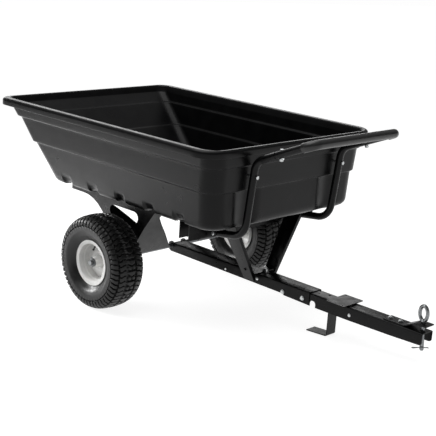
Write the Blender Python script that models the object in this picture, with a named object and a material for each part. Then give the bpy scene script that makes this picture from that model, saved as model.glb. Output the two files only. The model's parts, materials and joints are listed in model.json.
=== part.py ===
"""Tow-behind garden cart: a moulded tub that tips about the axle, on a pressed steel drawbar.

Sizes are in metres. Pieces are drawn in the cart's own frame: x runs forward along the drawbar,
y to the left, z up, with the drawbar's rear end at its origin and the axle just ahead of it. The
cart rests nose down on its stand, so an empty that carries that frame is pitched by the angle at
which tyres and stand touch the ground.
"""

import math

import bmesh
import bpy
from mathutils import Matrix, Vector

# Fits
GAP = 0.0003
SLACK = 0.0006
SHEET = 0.003

# Wheels and axle
TYRE_RADIUS = 0.1865
TYRE_HALF_WIDTH = 0.0746
TYRE_WALL = 0.009
RIM_LIP_RADIUS = 0.0903
RIM_SEAT_RADIUS = 0.0751
RIM_HALF_WIDTH = 0.055
RIM_SHEET = 0.0028
LUG_COUNT = 22
LUG_DEPTH = 0.005
WHEEL_Y = 0.408
HUB_RADIUS = 0.021
HUB_OUTER = 0.041
HUB_INNER = 0.050
BUSH_WALL = 0.0028
BUSH_FLANGE = 0.002
VALVE_RADIUS = 0.004
VALVE_LENGTH = 0.034
VALVE_ANGLE = 2.2
AXLE_X, AXLE_Z = 0.0601, 0.0252
AXLE_RADIUS = 0.0095
AXLE_OVERHANG = 0.012
COLLAR_RADIUS = 0.0145
COLLAR_WIDTH = 0.006
WASHER_RADIUS = 0.0165
WASHER_THICK = 0.002
CLIP_WIRE = 0.0016

# Tub
WALL = 0.005
FLOOR_Z = 0.272
LOW_LEDGE_Z = 0.417
HIGH_LEDGE_Z = 0.509
LIP_UNDER_Z = 0.549
RIM_Z = 0.578
LEDGE = 0.010
LEDGE_RISE = 0.003
FLOOR_HALF, FLOOR_REAR, FLOOR_FRONT = 0.397, -0.293, 0.636
LOW_HALF, LOW_REAR, LOW_FRONT = 0.4154, -0.426, 0.646
HIGH_HALF, HIGH_REAR, HIGH_FRONT = 0.4286, -0.518, 0.660
NECK_HALF, NECK_REAR, NECK_FRONT = 0.4315, -0.5575, 0.662
LIP_SIDE, LIP_REAR, LIP_FRONT = 0.035, 0.022, 0.012
RIM_HALF, RIM_REAR, RIM_FRONT = NECK_HALF + LIP_SIDE, NECK_REAR - LIP_REAR, NECK_FRONT + LIP_FRONT
REAR_CORNER = 0.040
FRONT_CORNER = 0.065
FLOOR_FILLET = 0.030
FLUTE_COUNT = 5
FLUTE_FIRST_X = -0.185
FLUTE_PITCH = 0.163
FLUTE_LAST_X = FLUTE_FIRST_X + (FLUTE_COUNT - 1) * FLUTE_PITCH
FLUTE_HALF = 0.026
FLUTE_DEPTH = 0.011
FLUTE_RISE = 0.040
SCOOP_Y = 0.229
SCOOP_HALF = 0.075
SCOOP_DEPTH = 0.014

# Drawbar
BEAM_HALF = 0.0347
BEAM_TOP = 0.037
BEAM_FRONT = 0.808
BEAM_DEPTH = 0.0375
BEAM_FRONT_DEPTH = 0.043
BEAM_EAR = 0.018
TONGUE_REAR = 0.675
TONGUE_FRONT = 1.301
TONGUE_DEPTH = 0.049
TONGUE_END_DEPTH = 0.042
BEND = 0.005
NOTCH_X = 0.823
NOTCH_HALF = 0.0135
NOTCH_TOP = 0.008
JOINT_BOLTS = ((0.679, 0.002), (0.776, 0.006))

# Stand
STAND_X = 0.895
STAND_DROP = 0.110
STAND_HALF = 0.0245
STAND_SHEET = 0.004
STAND_FOOT = 0.095
STAND_FLANGE = 0.058

# Hitch
HITCH_REAR = 1.134
HITCH_RISE_X = 1.216
HITCH_STEP_X = 1.259
HITCH_FRONT = 1.307
HITCH_HALF = 0.0245
HITCH_SHEET = 0.004
CLEVIS_MOUTH = 0.022
HITCH_BOLTS = (1.147, 1.190)
PIN_X = 1.280
PIN_RADIUS = 0.0075
PIN_HOLE = 0.0088
PIN_TIP_Z = -0.037
PIN_LOOP_HALF = 0.0170
PIN_LOOP_HEIGHT = 0.026
PIN_LOOP_WIRE = 0.0065
CLIP_WIRE_RADIUS = 0.0016
CLIP_RISE = 0.010
CLIP_REACH = 0.028
CLIP_TAIL = 0.022
CLIP_BOW = 0.007

# Latch
PEDAL_REAR, PEDAL_FRONT = 0.902, 0.985
PEDAL_HALF = 0.057
PEDAL_CLEAR = 0.0033
PEDAL_PIVOT = (0.993, 0.005)
PEDAL_EAR_Y = 0.0155
PEDAL_HOLE = 0.003
HOOK_PIVOT = (0.546, 0.016)
HOOK_HALF = 0.0025
LINK_ARM = 0.013
ROD_RADIUS = 0.0025
ROD_Y = 0.0085
SPRING_BOLT = (0.376, 0.008)
SPRING_EYE = (0.534, 0.022)
SPRING_RADIUS = 0.0052
SPRING_WIRE = 0.0008
SPRING_TURNS = 15
SPRING_PITCH = 0.0032

# Cross-member, under the floor's last flute
MEMBER_REAR, MEMBER_FRONT = FLUTE_LAST_X - 0.039, FLUTE_LAST_X + 0.013
MEMBER_HALF = 0.350
MEMBER_FOOT = 0.202

# Braces and saddle that carry the tub's nose on the beam
BRACE_FOOT = (0.062, 0.012)
BRACE_SLOPE = 0.55
BRACE_FOOT_X = (0.503, 0.5545)
BRACE_TOP_X = (MEMBER_FRONT + 0.0035, MEMBER_FRONT + 0.0805)
BRACE_FLANGE = 0.014
BRACE_TAB = 0.034
SADDLE_TAB = 0.034

# Axle brackets, across and above the axle
BRACKET_Y = 0.312
BRACKET_FLANK = ((0.212, 0.2465), (0.1826, 0.2138), (0.1318, 0.1457), (0.1036, 0.1002))
BRACKET_TAIL = (-0.322, -0.250, 0.209)
BRACKET_ARCH = (-0.110, 0.215)
BRACKET_LUG = 0.028
BRACKET_WEB_FOOT = 0.009
BRACKET_INNER = ((0.080, 0.009), (0.262, 0.190), (0.268, 0.270))
BRACKET_BOLT = (0.180, 0.014)
WINDOW = ((-0.100, 0.2007), (0.118, 0.2007), (0.010, 0.052))
WINDOW_CORNER = 0.024

# Handle
HANDLE_Y = 0.240
HANDLE_RADIUS = 0.014
HANDLE_WALL = 0.0018
RUN_REAR = (MEMBER_FRONT + 0.005, 0.2225)
RUN_CORNER = (0.651, 0.2435)
LEG_TOP = (0.681, 0.5273)
ARM_JOINT = (0.800, 0.5768)
BAR_CENTRE = (0.928, 0.630)
LEG_BEND = 0.070
TOP_BEND = 0.060
BAR_BEND = 0.034
SLEEVE_START = 0.775
SPIGOT_END = 0.835
SPIGOT_RADIUS = 0.0118
HANDLE_BOLT_X = 0.797
GRIP_RADIUS = 0.017
GRIP_END_X = 0.890
WALL_BOLT_Z = 0.471
RUN_BOLT_X = MEMBER_FRONT + 0.034

# Fasteners
BOLT_RADIUS = 0.004
SMALL_BOLT_RADIUS = 0.003
HEAD_RATIO = 1.62
HEAD_HEIGHT = 0.0052
ROUND_SIDES = 12

# The pitch of the resting cart: the tyres and the stand's foot touch the same ground
STAND_AHEAD, STAND_BELOW = STAND_X - AXLE_X, STAND_DROP + AXLE_Z
PITCH = math.asin(TYRE_RADIUS / math.hypot(STAND_AHEAD, STAND_BELOW)) - math.atan2(STAND_BELOW, STAND_AHEAD)
COS_P, SIN_P = math.cos(PITCH), math.sin(PITCH)
HITCH_TOP = BEAM_TOP - SHEET + CLEVIS_MOUTH + HITCH_SHEET
REAR_REACH = (RIM_REAR - AXLE_X) * COS_P + (LIP_UNDER_Z - AXLE_Z) * SIN_P
FRONT_REACH = (HITCH_FRONT - AXLE_X) * COS_P + (HITCH_TOP - AXLE_Z) * SIN_P
MIDDLE_X = (REAR_REACH + FRONT_REACH) / 2
CART_X = -MIDDLE_X - AXLE_X * COS_P - AXLE_Z * SIN_P
CART_Z = TYRE_RADIUS + AXLE_X * SIN_P - AXLE_Z * COS_P

TONGUE_TOP = BEAM_TOP - SHEET - GAP
TONGUE_HALF = BEAM_HALF - SHEET - GAP
HOLE = BOLT_RADIUS + GAP
SMALL_HOLE = SMALL_BOLT_RADIUS + GAP
HOOK_HOLE = (HOOK_PIVOT[0], HOOK_PIVOT[1] + LINK_ARM)
PEDAL_LINK = (PEDAL_PIVOT[0], PEDAL_PIVOT[1] + LINK_ARM)
WORLD_UP = Vector((-SIN_P, 0, COS_P))
WORLD_FORWARD = Vector((COS_P, 0, SIN_P))


def clear_scene():
    for obj in list(bpy.data.objects):
        bpy.data.objects.remove(obj, do_unlink=True)


def finish_of(name, colour, roughness, metallic=0.0):
    """A Principled material with the photographed colour."""
    material = bpy.data.materials.new(name)
    material.use_nodes = True
    shader = material.node_tree.nodes["Principled BSDF"]
    shader.inputs["Base Color"].default_value = (*colour, 1)
    shader.inputs["Roughness"].default_value = roughness
    shader.inputs["Metallic"].default_value = metallic
    material.diffuse_color = (*colour, 1)
    return material


clear_scene()
MOULDED_BLACK = finish_of("moulded_polyethylene_black", (0.018, 0.018, 0.019), 0.34)
POWDER_BLACK = finish_of("powder_coated_steel_black", (0.014, 0.014, 0.015), 0.42)
ZINC = finish_of("zinc_plated_steel", (0.62, 0.62, 0.60), 0.32, 1.0)
RUBBER = finish_of("tyre_rubber", (0.016, 0.016, 0.016), 0.78)
RIM_GREY = finish_of("painted_rim_grey", (0.55, 0.55, 0.54), 0.45)
NYLON = finish_of("nylon_bush", (0.08, 0.08, 0.08), 0.5)
FOAM = finish_of("grip_foam_black", (0.02, 0.02, 0.02), 0.7)
SPRING_STEEL = finish_of("spring_steel", (0.42, 0.42, 0.42), 0.35, 1.0)


def empty(name, parent, location):
    """A frame for a body, given in its parent's coordinates."""
    frame = bpy.data.objects.new(name, None)
    bpy.context.scene.collection.objects.link(frame)
    frame.parent = parent
    frame.location = location
    return frame


CART = empty("cart_frame", None, (CART_X, 0, CART_Z))
CART.rotation_euler = (0, PITCH, 0)
TUB_AXIS = empty("tub_axis", CART, (AXLE_X, 0, AXLE_Z))
PEDAL_AXIS = empty("pedal_axis", CART, (PEDAL_PIVOT[0], 0, PEDAL_PIVOT[1]))
HOOK_AXIS = empty("hook_axis", CART, (HOOK_PIVOT[0], 0, HOOK_PIVOT[1]))
ROD_AXIS = empty("rod_axis", CART, (HOOK_HOLE[0], 0, HOOK_HOLE[1]))
PIN_AXIS = empty("pin_axis", CART, (PIN_X, 0, TONGUE_TOP))
WHEEL_AXES = {
    side: empty(f"wheel_axis_{side}", None, (-MIDDLE_X, sign * WHEEL_Y, TYRE_RADIUS))
    for side, sign in (("left", 1), ("right", -1))
}


def add(name, mesh, material, parent):
    """Links a mesh drawn in the cart's frame, keeping its place under its body's empty."""
    obj = bpy.data.objects.new(name, mesh)
    bpy.context.scene.collection.objects.link(obj)
    mesh.materials.append(material)
    obj.parent = parent
    if parent is not CART:
        obj.matrix_parent_inverse = Matrix.Translation(-parent.location)
    mesh.shade_smooth()
    mesh.set_sharp_from_angle(angle=math.radians(35))
    return obj


def cutter(name, mesh, parent=None):
    obj = bpy.data.objects.new(name, mesh)
    bpy.context.scene.collection.objects.link(obj)
    parent = parent or CART
    obj.parent = parent
    if parent is not CART:
        obj.matrix_parent_inverse = Matrix.Translation(-parent.location)
    obj.hide_render = True
    obj.display_type = "WIRE"
    return obj


def carve(obj, tool, operation="DIFFERENCE"):
    step = obj.modifiers.new(tool.name, "BOOLEAN")
    step.operation = operation
    step.solver = "MANIFOLD"
    step.object = tool


def mesh_from(name, shape):
    """Turns a bmesh into a mesh whose faces point outwards."""
    bmesh.ops.remove_doubles(shape, verts=shape.verts, dist=1e-7)
    bmesh.ops.recalc_face_normals(shape, faces=shape.faces)
    mesh = bpy.data.meshes.new(name)
    shape.to_mesh(mesh)
    shape.free()
    return mesh


def loft(name, rings, closed=False):
    """Joins rings of equal point counts, capping the first and last unless the loft closes on itself."""
    shape = bmesh.new()
    rows = [[shape.verts.new(point) for point in ring] for ring in rings]
    count = len(rows[0])
    pairs = list(zip(rows, rows[1:]))
    if closed:
        pairs.append((rows[-1], rows[0]))
    for low, high in pairs:
        for i in range(count):
            j = (i + 1) % count
            shape.faces.new((low[i], low[j], high[j], high[i]))
    if not closed:
        shape.faces.new(rows[0])
        shape.faces.new(rows[-1])
    return mesh_from(name, shape)


def place(axis, a, b, along):
    """A point from two coordinates across an axis and one along it."""
    if axis == "X":
        return Vector((along, a, b))
    if axis == "Y":
        return Vector((a, along, b))
    return Vector((a, b, along))


def prism(name, outline, axis, low, high):
    """An outline across an axis, extruded from low to high."""
    return loft(name, [[place(axis, a, b, s) for a, b in outline] for s in (low, high)])


def circle(radius, sides, start=0.0):
    turn = 2 * math.pi / sides
    return [(radius * math.cos(start + i * turn), radius * math.sin(start + i * turn)) for i in range(sides)]


def drum(name, radius, axis, centre, low, high, sides=ROUND_SIDES):
    """A cylinder along a cart axis, with the centre given across it."""
    outline = [(centre[0] + a, centre[1] + b) for a, b in circle(radius, sides, math.pi / sides)]
    return prism(name, outline, axis, low, high)


def box(name, x, y, z):
    return prism(name, ((x[0], y[0]), (x[1], y[0]), (x[1], y[1]), (x[0], y[1])), "Z", *z)


def rounded(points, radii, steps=4):
    """A closed outline whose corners are arcs of the given radii."""
    outline = []
    count = len(points)
    for i, (point, radius) in enumerate(zip(points, radii)):
        here = Vector(point)
        before = (Vector(points[i - 1]) - here).normalized()
        after = (Vector(points[(i + 1) % count]) - here).normalized()
        outline += corner(here, before, after, radius, steps)
    return outline


def corner(here, before, after, radius, steps):
    """The arc that rounds one corner, from the side towards before to the side towards after."""
    if radius <= 0:
        return [tuple(here)]
    half = before.angle(after) / 2
    back = radius / math.tan(half)
    middle = here + (before + after).normalized() * (radius / math.sin(half))
    start = here + before * back - middle
    end = here + after * back - middle
    sweep = start.angle(end)
    arc = []
    for k in range(steps + 1):
        t = k / steps
        weight_a = math.sin((1 - t) * sweep) / math.sin(sweep)
        weight_b = math.sin(t * sweep) / math.sin(sweep)
        arc.append(tuple(middle + start * weight_a + end * weight_b))
    return arc


def path_of(points, radii, steps=4):
    """An open route through points, with an arc at each inner point."""
    route = [tuple(Vector(points[0]))]
    for i in range(1, len(points) - 1):
        here = Vector(points[i])
        before = (Vector(points[i - 1]) - here).normalized()
        after = (Vector(points[i + 1]) - here).normalized()
        route += corner(here, before, after, radii[i - 1], steps)
    route.append(tuple(Vector(points[-1])))
    return route


def strip(name, points, radii, thick, axis, low, high, steps=4):
    """A strap bent along a route of its middle line, extruded across the axis."""
    route = [Vector(p) for p in path_of(points, radii, steps)]
    upper, lower = [], []
    for i, point in enumerate(route):
        ahead = route[min(i + 1, len(route) - 1)] - point
        behind = point - route[max(i - 1, 0)]
        along = (ahead.normalized() if ahead.length else Vector((0, 0))) + (
            behind.normalized() if behind.length else Vector((0, 0))
        )
        along.normalize()
        normal = Vector((-along.y, along.x))
        upper.append(point + normal * thick / 2)
        lower.append(point - normal * thick / 2)
    return prism(name, [tuple(p) for p in upper + lower[::-1]], axis, low, high)


def sweep_rings(points, radius, sides, plane=None):
    """Rings across a route. The plane's normal, where given, fixes how the rings are turned."""
    route = [Vector(p) for p in points]
    turned = circle(radius, sides, math.pi / sides)
    rings = []
    across = None
    for i, point in enumerate(route):
        ahead = (route[min(i + 1, len(route) - 1)] - point).normalized()
        behind = (point - route[max(i - 1, 0)]).normalized()
        along = (ahead + behind).normalized()
        miter = 1 / max(0.5, along.dot(ahead if i < len(route) - 1 else behind))
        if plane is not None:
            across = Vector(plane)
        elif across is None:
            across = along.orthogonal()
        across = (across - along * across.dot(along)).normalized()
        over = along.cross(across)
        bend = ahead - behind
        inward = bend.normalized() if 0 < i < len(route) - 1 and bend.length > 1e-6 else Vector()
        ring = []
        for a, b in turned:
            offset = across * a + over * b
            ring.append(point + offset + inward * offset.dot(inward) * (miter - 1))
        rings.append(ring)
    return rings


def tube(name, points, radius, sides=8, plane=None):
    """A round bar along a route."""
    return loft(name, sweep_rings(points, radius, sides, plane))


def ring_bar(name, points, radius, sides, plane):
    """A round bar along a route that closes on itself."""
    padded = [points[-1], *points, points[0]]
    return loft(name, sweep_rings(padded, radius, sides, plane)[1:-1], closed=True)


def sleeve(name, points, outer, inner, sides, plane):
    """A pipe along a route, open at both ends."""
    skin = sweep_rings(points, outer, sides, plane)
    bore = sweep_rings(points, inner, sides, plane)
    return loft(name, skin + bore[::-1], closed=True)


def lathe(name, profile, centre, sides, start=0.0):
    """Turns a closed profile of (distance along y, radius) about the y axis through the centre."""
    rings = []
    for i in range(sides):
        angle = start + 2 * math.pi * i / sides
        ring = [
            (centre[0] + r * math.cos(angle), centre[1] + s, centre[2] + r * math.sin(angle))
            for s, r in profile
        ]
        rings.append(ring)
    return loft(name, rings, closed=True)


def frame_on(direction):
    """Two unit vectors across a direction."""
    across = direction.orthogonal().normalized()
    return across, direction.cross(across).normalized()


def bolt_mesh(name, seat, direction, grip, radius=BOLT_RADIUS, dome=False, tail=0.004, slope=(0, 0, 0)):
    """A headed bolt as one turned and hexed loft: its head sits outside the seat, and its shank
    runs along the direction through the grip and a tail beyond it. A slope shapes the head's
    underside for a seat that falls away across the bolt."""
    direction = Vector(direction).normalized()
    across, over = frame_on(direction)
    flats = radius * HEAD_RATIO
    height = HEAD_HEIGHT * radius / BOLT_RADIUS
    stations = [
        (-height - GAP, flats * 0.86, True),
        (-height * 0.8 - GAP, flats, True),
        (-GAP, flats, True),
        (-GAP, radius, False),
        (grip + tail - radius * 0.3, radius, False),
        (grip + tail, radius * 0.75, False),
    ]
    rings = []
    for along, size, hexed in stations:
        ring = []
        for i in range(ROUND_SIDES):
            angle = 2 * math.pi * i / ROUND_SIDES
            reach = size
            if hexed and not dome:
                reach = size / math.cos(math.pi / 6) if i % 2 == 0 else size
            offset = (across * math.cos(angle) + over * math.sin(angle)) * reach
            lean = -offset.dot(Vector(slope)) if along == -GAP else 0.0
            ring.append(Vector(seat) + direction * (along + lean) + offset)
        rings.append(ring)
    return loft(name, rings)


def nut_mesh(name, seat, direction, radius=BOLT_RADIUS):
    """A hexagon nut that sits beyond the seat along the direction."""
    direction = Vector(direction).normalized()
    across, over = frame_on(direction)
    flats = radius * HEAD_RATIO
    height = radius * 1.5
    rings = []
    for along, size, hexed in (
        (GAP, radius + GAP, False),
        (GAP, flats, True),
        (GAP + height * 0.85, flats, True),
        (GAP + height, flats * 0.9, False),
        (GAP + height, radius + GAP, False),
    ):
        ring = []
        for i in range(ROUND_SIDES):
            angle = 2 * math.pi * i / ROUND_SIDES
            reach = size / math.cos(math.pi / 6) if hexed and i % 2 == 0 else size
            ring.append(
                Vector(seat) + direction * along + (across * math.cos(angle) + over * math.sin(angle)) * reach
            )
        rings.append(ring)
    return loft(name, rings, closed=True)


def rivet_mesh(name, seat, direction, grip, radius, head):
    """A rivet with a low round head on both faces of its grip."""
    direction = Vector(direction).normalized()
    across, over = frame_on(direction)
    rise = head * 0.38
    stations = (
        (-GAP - rise, head * 0.6),
        (-GAP, head),
        (-GAP, radius),
        (grip + GAP, radius),
        (grip + GAP, head),
        (grip + GAP + rise, head * 0.6),
    )
    rings = []
    for along, size in stations:
        rings.append(
            [
                Vector(seat) + direction * along + (across * a + over * b) * size
                for a, b in circle(1, ROUND_SIDES)
            ]
        )
    return loft(name, rings)


def cross_hole(owner, x, z, radius, half=0.06, sides=ROUND_SIDES):
    tool = cutter(f"hole_{owner.name}_{round(x * 1000)}", drum("hole", radius, "Y", (x, z), -half, half, sides))
    carve(owner, tool)


def web_hole(owner, x, y, radius, low, high, sides=ROUND_SIDES):
    name = f"web_hole_{owner.name}_{round(x * 1000)}_{round(y * 1000)}"
    carve(owner, cutter(name, drum("hole", radius, "Z", (x, y), low, high, sides)))


def channel_mesh(name, half, top, depth, rear, front):
    """An inverted U section with bent corners, extruded along x."""
    inner = BEND - SHEET
    outer_side = rounded(
        ((-half, top - depth), (-half, top), (half, top), (half, top - depth)), (0, BEND, BEND, 0), 3
    )
    inner_side = rounded(
        (
            (half - SHEET, top - depth),
            (half - SHEET, top - SHEET),
            (SHEET - half, top - SHEET),
            (SHEET - half, top - depth),
        ),
        (0, inner, inner, 0),
        3,
    )
    return prism(name, outer_side + inner_side, "X", rear, front)


def drawbar_rear():
    """The beam: its cheeks end in ears round the axle, and its flanges deepen towards the front."""
    half, top, ear = BEAM_HALF, BEAM_TOP, BEAM_EAR
    low_rear = top - BEAM_DEPTH
    low_front = top - BEAM_FRONT_DEPTH
    rear = AXLE_X - ear
    beam = add(
        "drawbar_rear",
        channel_mesh("drawbar_rear", half, top, BEAM_FRONT_DEPTH + 0.002, rear, BEAM_FRONT),
        POWDER_BLACK,
        CART,
    )
    outline = rounded(
        (
            (rear - 0.01, top + 0.01),
            (rear - 0.01, AXLE_Z),
            (rear + 0.0001, AXLE_Z),
            (rear + 0.0001, low_rear),
            (rear + 0.090, low_rear),
            (BEAM_FRONT + 0.01, low_front),
            (BEAM_FRONT + 0.01, top + 0.01),
        ),
        (0, 0, 0, ear, 0, 0, 0),
        6,
    )
    side = cutter("beam_side_outline", prism("beam_side_outline", outline, "Y", -half - 0.01, half + 0.01))
    carve(beam, side, "INTERSECT")
    web = box("web_end", (rear - 0.01, AXLE_X + 0.016), (SHEET - half, half - SHEET), (top - 0.010, top + 0.01))
    carve(beam, cutter("web_end", web))
    crown = [(AXLE_X + ear * math.cos(a), AXLE_Z + ear * math.sin(a)) for a in (math.pi * k / 12 for k in range(13))]
    for sign in (1, -1):
        cheek = sorted((sign * (half - SHEET), sign * half))
        tool = prism("axle_ear", [(AXLE_X + ear, AXLE_Z - 0.008), *crown, (rear, AXLE_Z - 0.008)], "Y", *cheek)
        carve(beam, cutter(f"axle_ear_{sign}", tool), "UNION")
    cross_hole(beam, AXLE_X, AXLE_Z, AXLE_RADIUS + GAP, sides=20)
    cross_hole(beam, *SPRING_BOLT, SMALL_HOLE)
    cross_hole(beam, *HOOK_PIVOT, HOLE)
    for x, z in JOINT_BOLTS:
        cross_hole(beam, x, z, HOLE)
    slot = box("hook_slot", (HOOK_PIVOT[0] - 0.012, HOOK_PIVOT[0] + 0.031), (-0.004, 0.004), (top - 0.006, top + 0.002))
    carve(beam, cutter("hook_slot", slot))


def drawbar_front():
    """The tongue, nested in the beam's front and drilled for the pedal, the stand and the hitch."""
    half, top = TONGUE_HALF, TONGUE_TOP
    tongue = add(
        "drawbar_front",
        channel_mesh("drawbar_front", half, top, TONGUE_DEPTH + 0.002, TONGUE_REAR, TONGUE_FRONT),
        POWDER_BLACK,
        CART,
    )
    low = top - TONGUE_DEPTH
    end = top - TONGUE_END_DEPTH
    outline = rounded(
        (
            (TONGUE_REAR - 0.001, top + 0.01),
            (TONGUE_REAR - 0.001, low + 0.004),
            (STAND_X - 0.055, low),
            (STAND_X + 0.095, low),
            (HITCH_RISE_X - 0.036, low + 0.003),
            (TONGUE_FRONT + 0.001, end),
            (TONGUE_FRONT + 0.001, top + 0.01),
        ),
        (0, 0.012, 0, 0, 0, 0.012, 0),
    )
    side = cutter("tongue_side_outline", prism("tongue_side_outline", outline, "Y", -half - 0.01, half + 0.01))
    carve(tongue, side, "INTERSECT")
    notch = rounded(
        (
            (NOTCH_X - NOTCH_HALF, low - 0.01),
            (NOTCH_X - NOTCH_HALF, NOTCH_TOP),
            (NOTCH_X + NOTCH_HALF, NOTCH_TOP),
            (NOTCH_X + NOTCH_HALF, low - 0.01),
        ),
        (0, NOTCH_HALF * 0.9, NOTCH_HALF * 0.9, 0),
    )
    carve(tongue, cutter("tongue_notch", prism("tongue_notch", notch, "Y", -half - 0.01, half + 0.01)))
    for x, z in JOINT_BOLTS:
        cross_hole(tongue, x, z, HOLE)
    cross_hole(tongue, *PEDAL_PIVOT, HOLE)
    web = (top - 0.006, top + 0.002)
    for x, y, radius, sides in ((0.866, 0.012, 0.0055, 12), (0.8165, 0.018, 0.0032, 8), (0.830, -0.003, 0.0032, 8)):
        web_hole(tongue, x, y, radius, *web, sides)
    for sign in (1, -1):
        web_hole(tongue, stand_rivet_x(), sign * stand_rivet_y(), SMALL_HOLE, *web)
        ear = sign * PEDAL_EAR_Y
        reach = (PEDAL_FRONT - 0.020, PEDAL_PIVOT[0] + 0.021)
        slot = box("ear_slot", reach, (ear - 0.0023, ear + 0.0023), web)
        carve(tongue, cutter(f"ear_slot_{sign}", slot))
    for x in HITCH_BOLTS:
        web_hole(tongue, x, 0, HOLE, *web)
    web_hole(tongue, PIN_X, 0, PIN_HOLE, *web, 20)


def stand_rivet_x():
    return STAND_X + STAND_FLANGE * 0.55


def stand_rivet_y():
    return STAND_HALF - 0.0065


def stand():
    """A strap under the web, bent down and back into a foot that lies flat on the ground."""
    under = TONGUE_TOP - SHEET - GAP - STAND_SHEET / 2
    ground = Vector((STAND_X, -STAND_DROP)) + Vector((WORLD_UP.x, WORLD_UP.z)) * STAND_SHEET / 2
    heel = (STAND_X, ground.y + (STAND_X - ground.x) * SIN_P / COS_P)
    toe = (heel[0] - STAND_FOOT * COS_P, heel[1] - STAND_FOOT * SIN_P)
    points = ((STAND_X + STAND_FLANGE, under), (STAND_X, under), heel, toe)
    leg = add(
        "stand",
        strip("stand", points, (0.007, 0.007), STAND_SHEET, "Y", -STAND_HALF, STAND_HALF),
        POWDER_BLACK,
        CART,
    )
    rod_z = rod_height(STAND_X)
    carve(leg, cutter("stand_rod_hole", drum("hole", ROD_RADIUS + 0.0025, "X", (ROD_Y, rod_z), STAND_X - 0.01, STAND_X + 0.01)))
    for sign, side in ((1, "left"), (-1, "right")):
        spot = (stand_rivet_x(), sign * stand_rivet_y())
        web_hole(leg, *spot, SMALL_HOLE, under - 0.01, under + 0.01)
        grip = SHEET + GAP + STAND_SHEET
        mesh = rivet_mesh("stand_rivet", (*spot, TONGUE_TOP), (0, 0, -1), grip, SMALL_BOLT_RADIUS, 0.0058)
        add(f"stand_rivet_{side}", mesh, ZINC, CART)


def rod_height(x):
    """The height of the latch rod's middle line at x."""
    t = (x - HOOK_HOLE[0]) / (PEDAL_LINK[0] - HOOK_HOLE[0])
    return HOOK_HOLE[1] + t * (PEDAL_LINK[1] - HOOK_HOLE[1])


def joint_bolts():
    """Two cross bolts that hold the tongue in the beam, each with its nut, and the latch's pins."""
    for (x, z), name in zip(JOINT_BOLTS, ("rear", "front")):
        seat = (x, -BEAM_HALF, z)
        add(
            f"joint_bolt_{name}",
            bolt_mesh("joint_bolt", seat, (0, 1, 0), 2 * BEAM_HALF, tail=0.009),
            ZINC,
            CART,
        )
        add(f"joint_nut_{name}", nut_mesh("joint_nut", (x, BEAM_HALF, z), (0, 1, 0)), ZINC, CART)
    pins = (
        ("latch_bolt", HOOK_PIVOT, BEAM_HALF, BOLT_RADIUS),
        ("spring_bolt", SPRING_BOLT, BEAM_HALF, SMALL_BOLT_RADIUS),
        ("pedal_bolt", PEDAL_PIVOT, TONGUE_HALF, BOLT_RADIUS),
    )
    for name, (x, z), half, radius in pins:
        mesh = rivet_mesh(name, (x, -half, z), (0, 1, 0), 2 * half, radius, radius * HEAD_RATIO)
        add(name, mesh, ZINC, CART)


def hitch():
    """The clevis plate on the tongue, its two bolts, the draw pin with its loop and the clip."""
    low = TONGUE_TOP + GAP + HITCH_SHEET / 2
    high = TONGUE_TOP + CLEVIS_MOUTH + HITCH_SHEET / 2
    points = ((HITCH_REAR, low), (HITCH_RISE_X, low), (HITCH_STEP_X, high), (HITCH_FRONT, high))
    plate = add(
        "hitch_plate",
        strip("hitch_plate", points, (0.012, 0.012), HITCH_SHEET, "Y", -HITCH_HALF, HITCH_HALF),
        POWDER_BLACK,
        CART,
    )
    web_hole(plate, PIN_X, 0, PIN_HOLE, high - 0.01, high + 0.01, 20)
    for x, name in zip(HITCH_BOLTS, ("rear", "front")):
        web_hole(plate, x, 0, HOLE, low - 0.01, low + 0.01)
        top = low + HITCH_SHEET / 2
        grip = HITCH_SHEET + GAP + SHEET
        add(f"hitch_bolt_{name}", bolt_mesh("hitch_bolt", (x, 0, top), (0, 0, -1), grip, tail=0.008), ZINC, CART)
    hitch_pin(high + HITCH_SHEET / 2)


def upright(x, y, up, about):
    """A point offset from the pin's foot along the world's forward, left and up."""
    return about + WORLD_FORWARD * x + Vector((0, y, 0)) + WORLD_UP * up


def hitch_pin(plate_top):
    """A bar that hangs straight down through both plates, with a closed loop above them."""
    about = Vector((PIN_X, 0, (TONGUE_TOP + plate_top) / 2))
    up = (plate_top - about.z) / COS_P
    seat = up + 0.0022
    tip = (PIN_TIP_Z - about.z) / COS_P
    reach = PIN_LOOP_HALF - PIN_LOOP_WIRE / 2
    middle = seat + PIN_LOOP_WIRE + PIN_LOOP_HEIGHT
    loop = []
    for i in range(24):
        angle = 2 * math.pi * i / 24
        loop.append(upright(reach * math.cos(angle) * 1.12, 0, middle + PIN_LOOP_HEIGHT * math.sin(angle), about))
    pin_profile = ((tip, PIN_RADIUS * 0.7), (tip + 0.004, PIN_RADIUS), (seat + 0.002, PIN_RADIUS))
    rings = []
    for height, radius in (*pin_profile, (seat + 0.006, PIN_RADIUS * 0.8)):
        rings.append([upright(a, b, height, about) for a, b in circle(radius, 16)])
    pin = add("hitch_pin", loft("hitch_pin", rings), ZINC, PIN_AXIS)
    carve(pin, cutter("pin_loop", ring_bar("pin_loop", loop, PIN_LOOP_WIRE, 8, (0, 1, 0)), PIN_AXIS), "UNION")
    clip_height = tip + CLIP_RISE
    ends = (along_clip(-0.02, 0, clip_height, about), along_clip(0.02, 0, clip_height, about))
    hole = tube("clip_hole", ends, CLIP_WIRE_RADIUS + GAP, 8)
    carve(pin, cutter("clip_hole", hole, PIN_AXIS))
    hitch_clip(about, clip_height)


def along_clip(x, y, up, about):
    """A point given along and across the clip, whose bow points to the rear and the right."""
    turn = math.sqrt(0.5)
    return upright((y - x) * turn, (-x - y) * turn, up, about)


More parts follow.
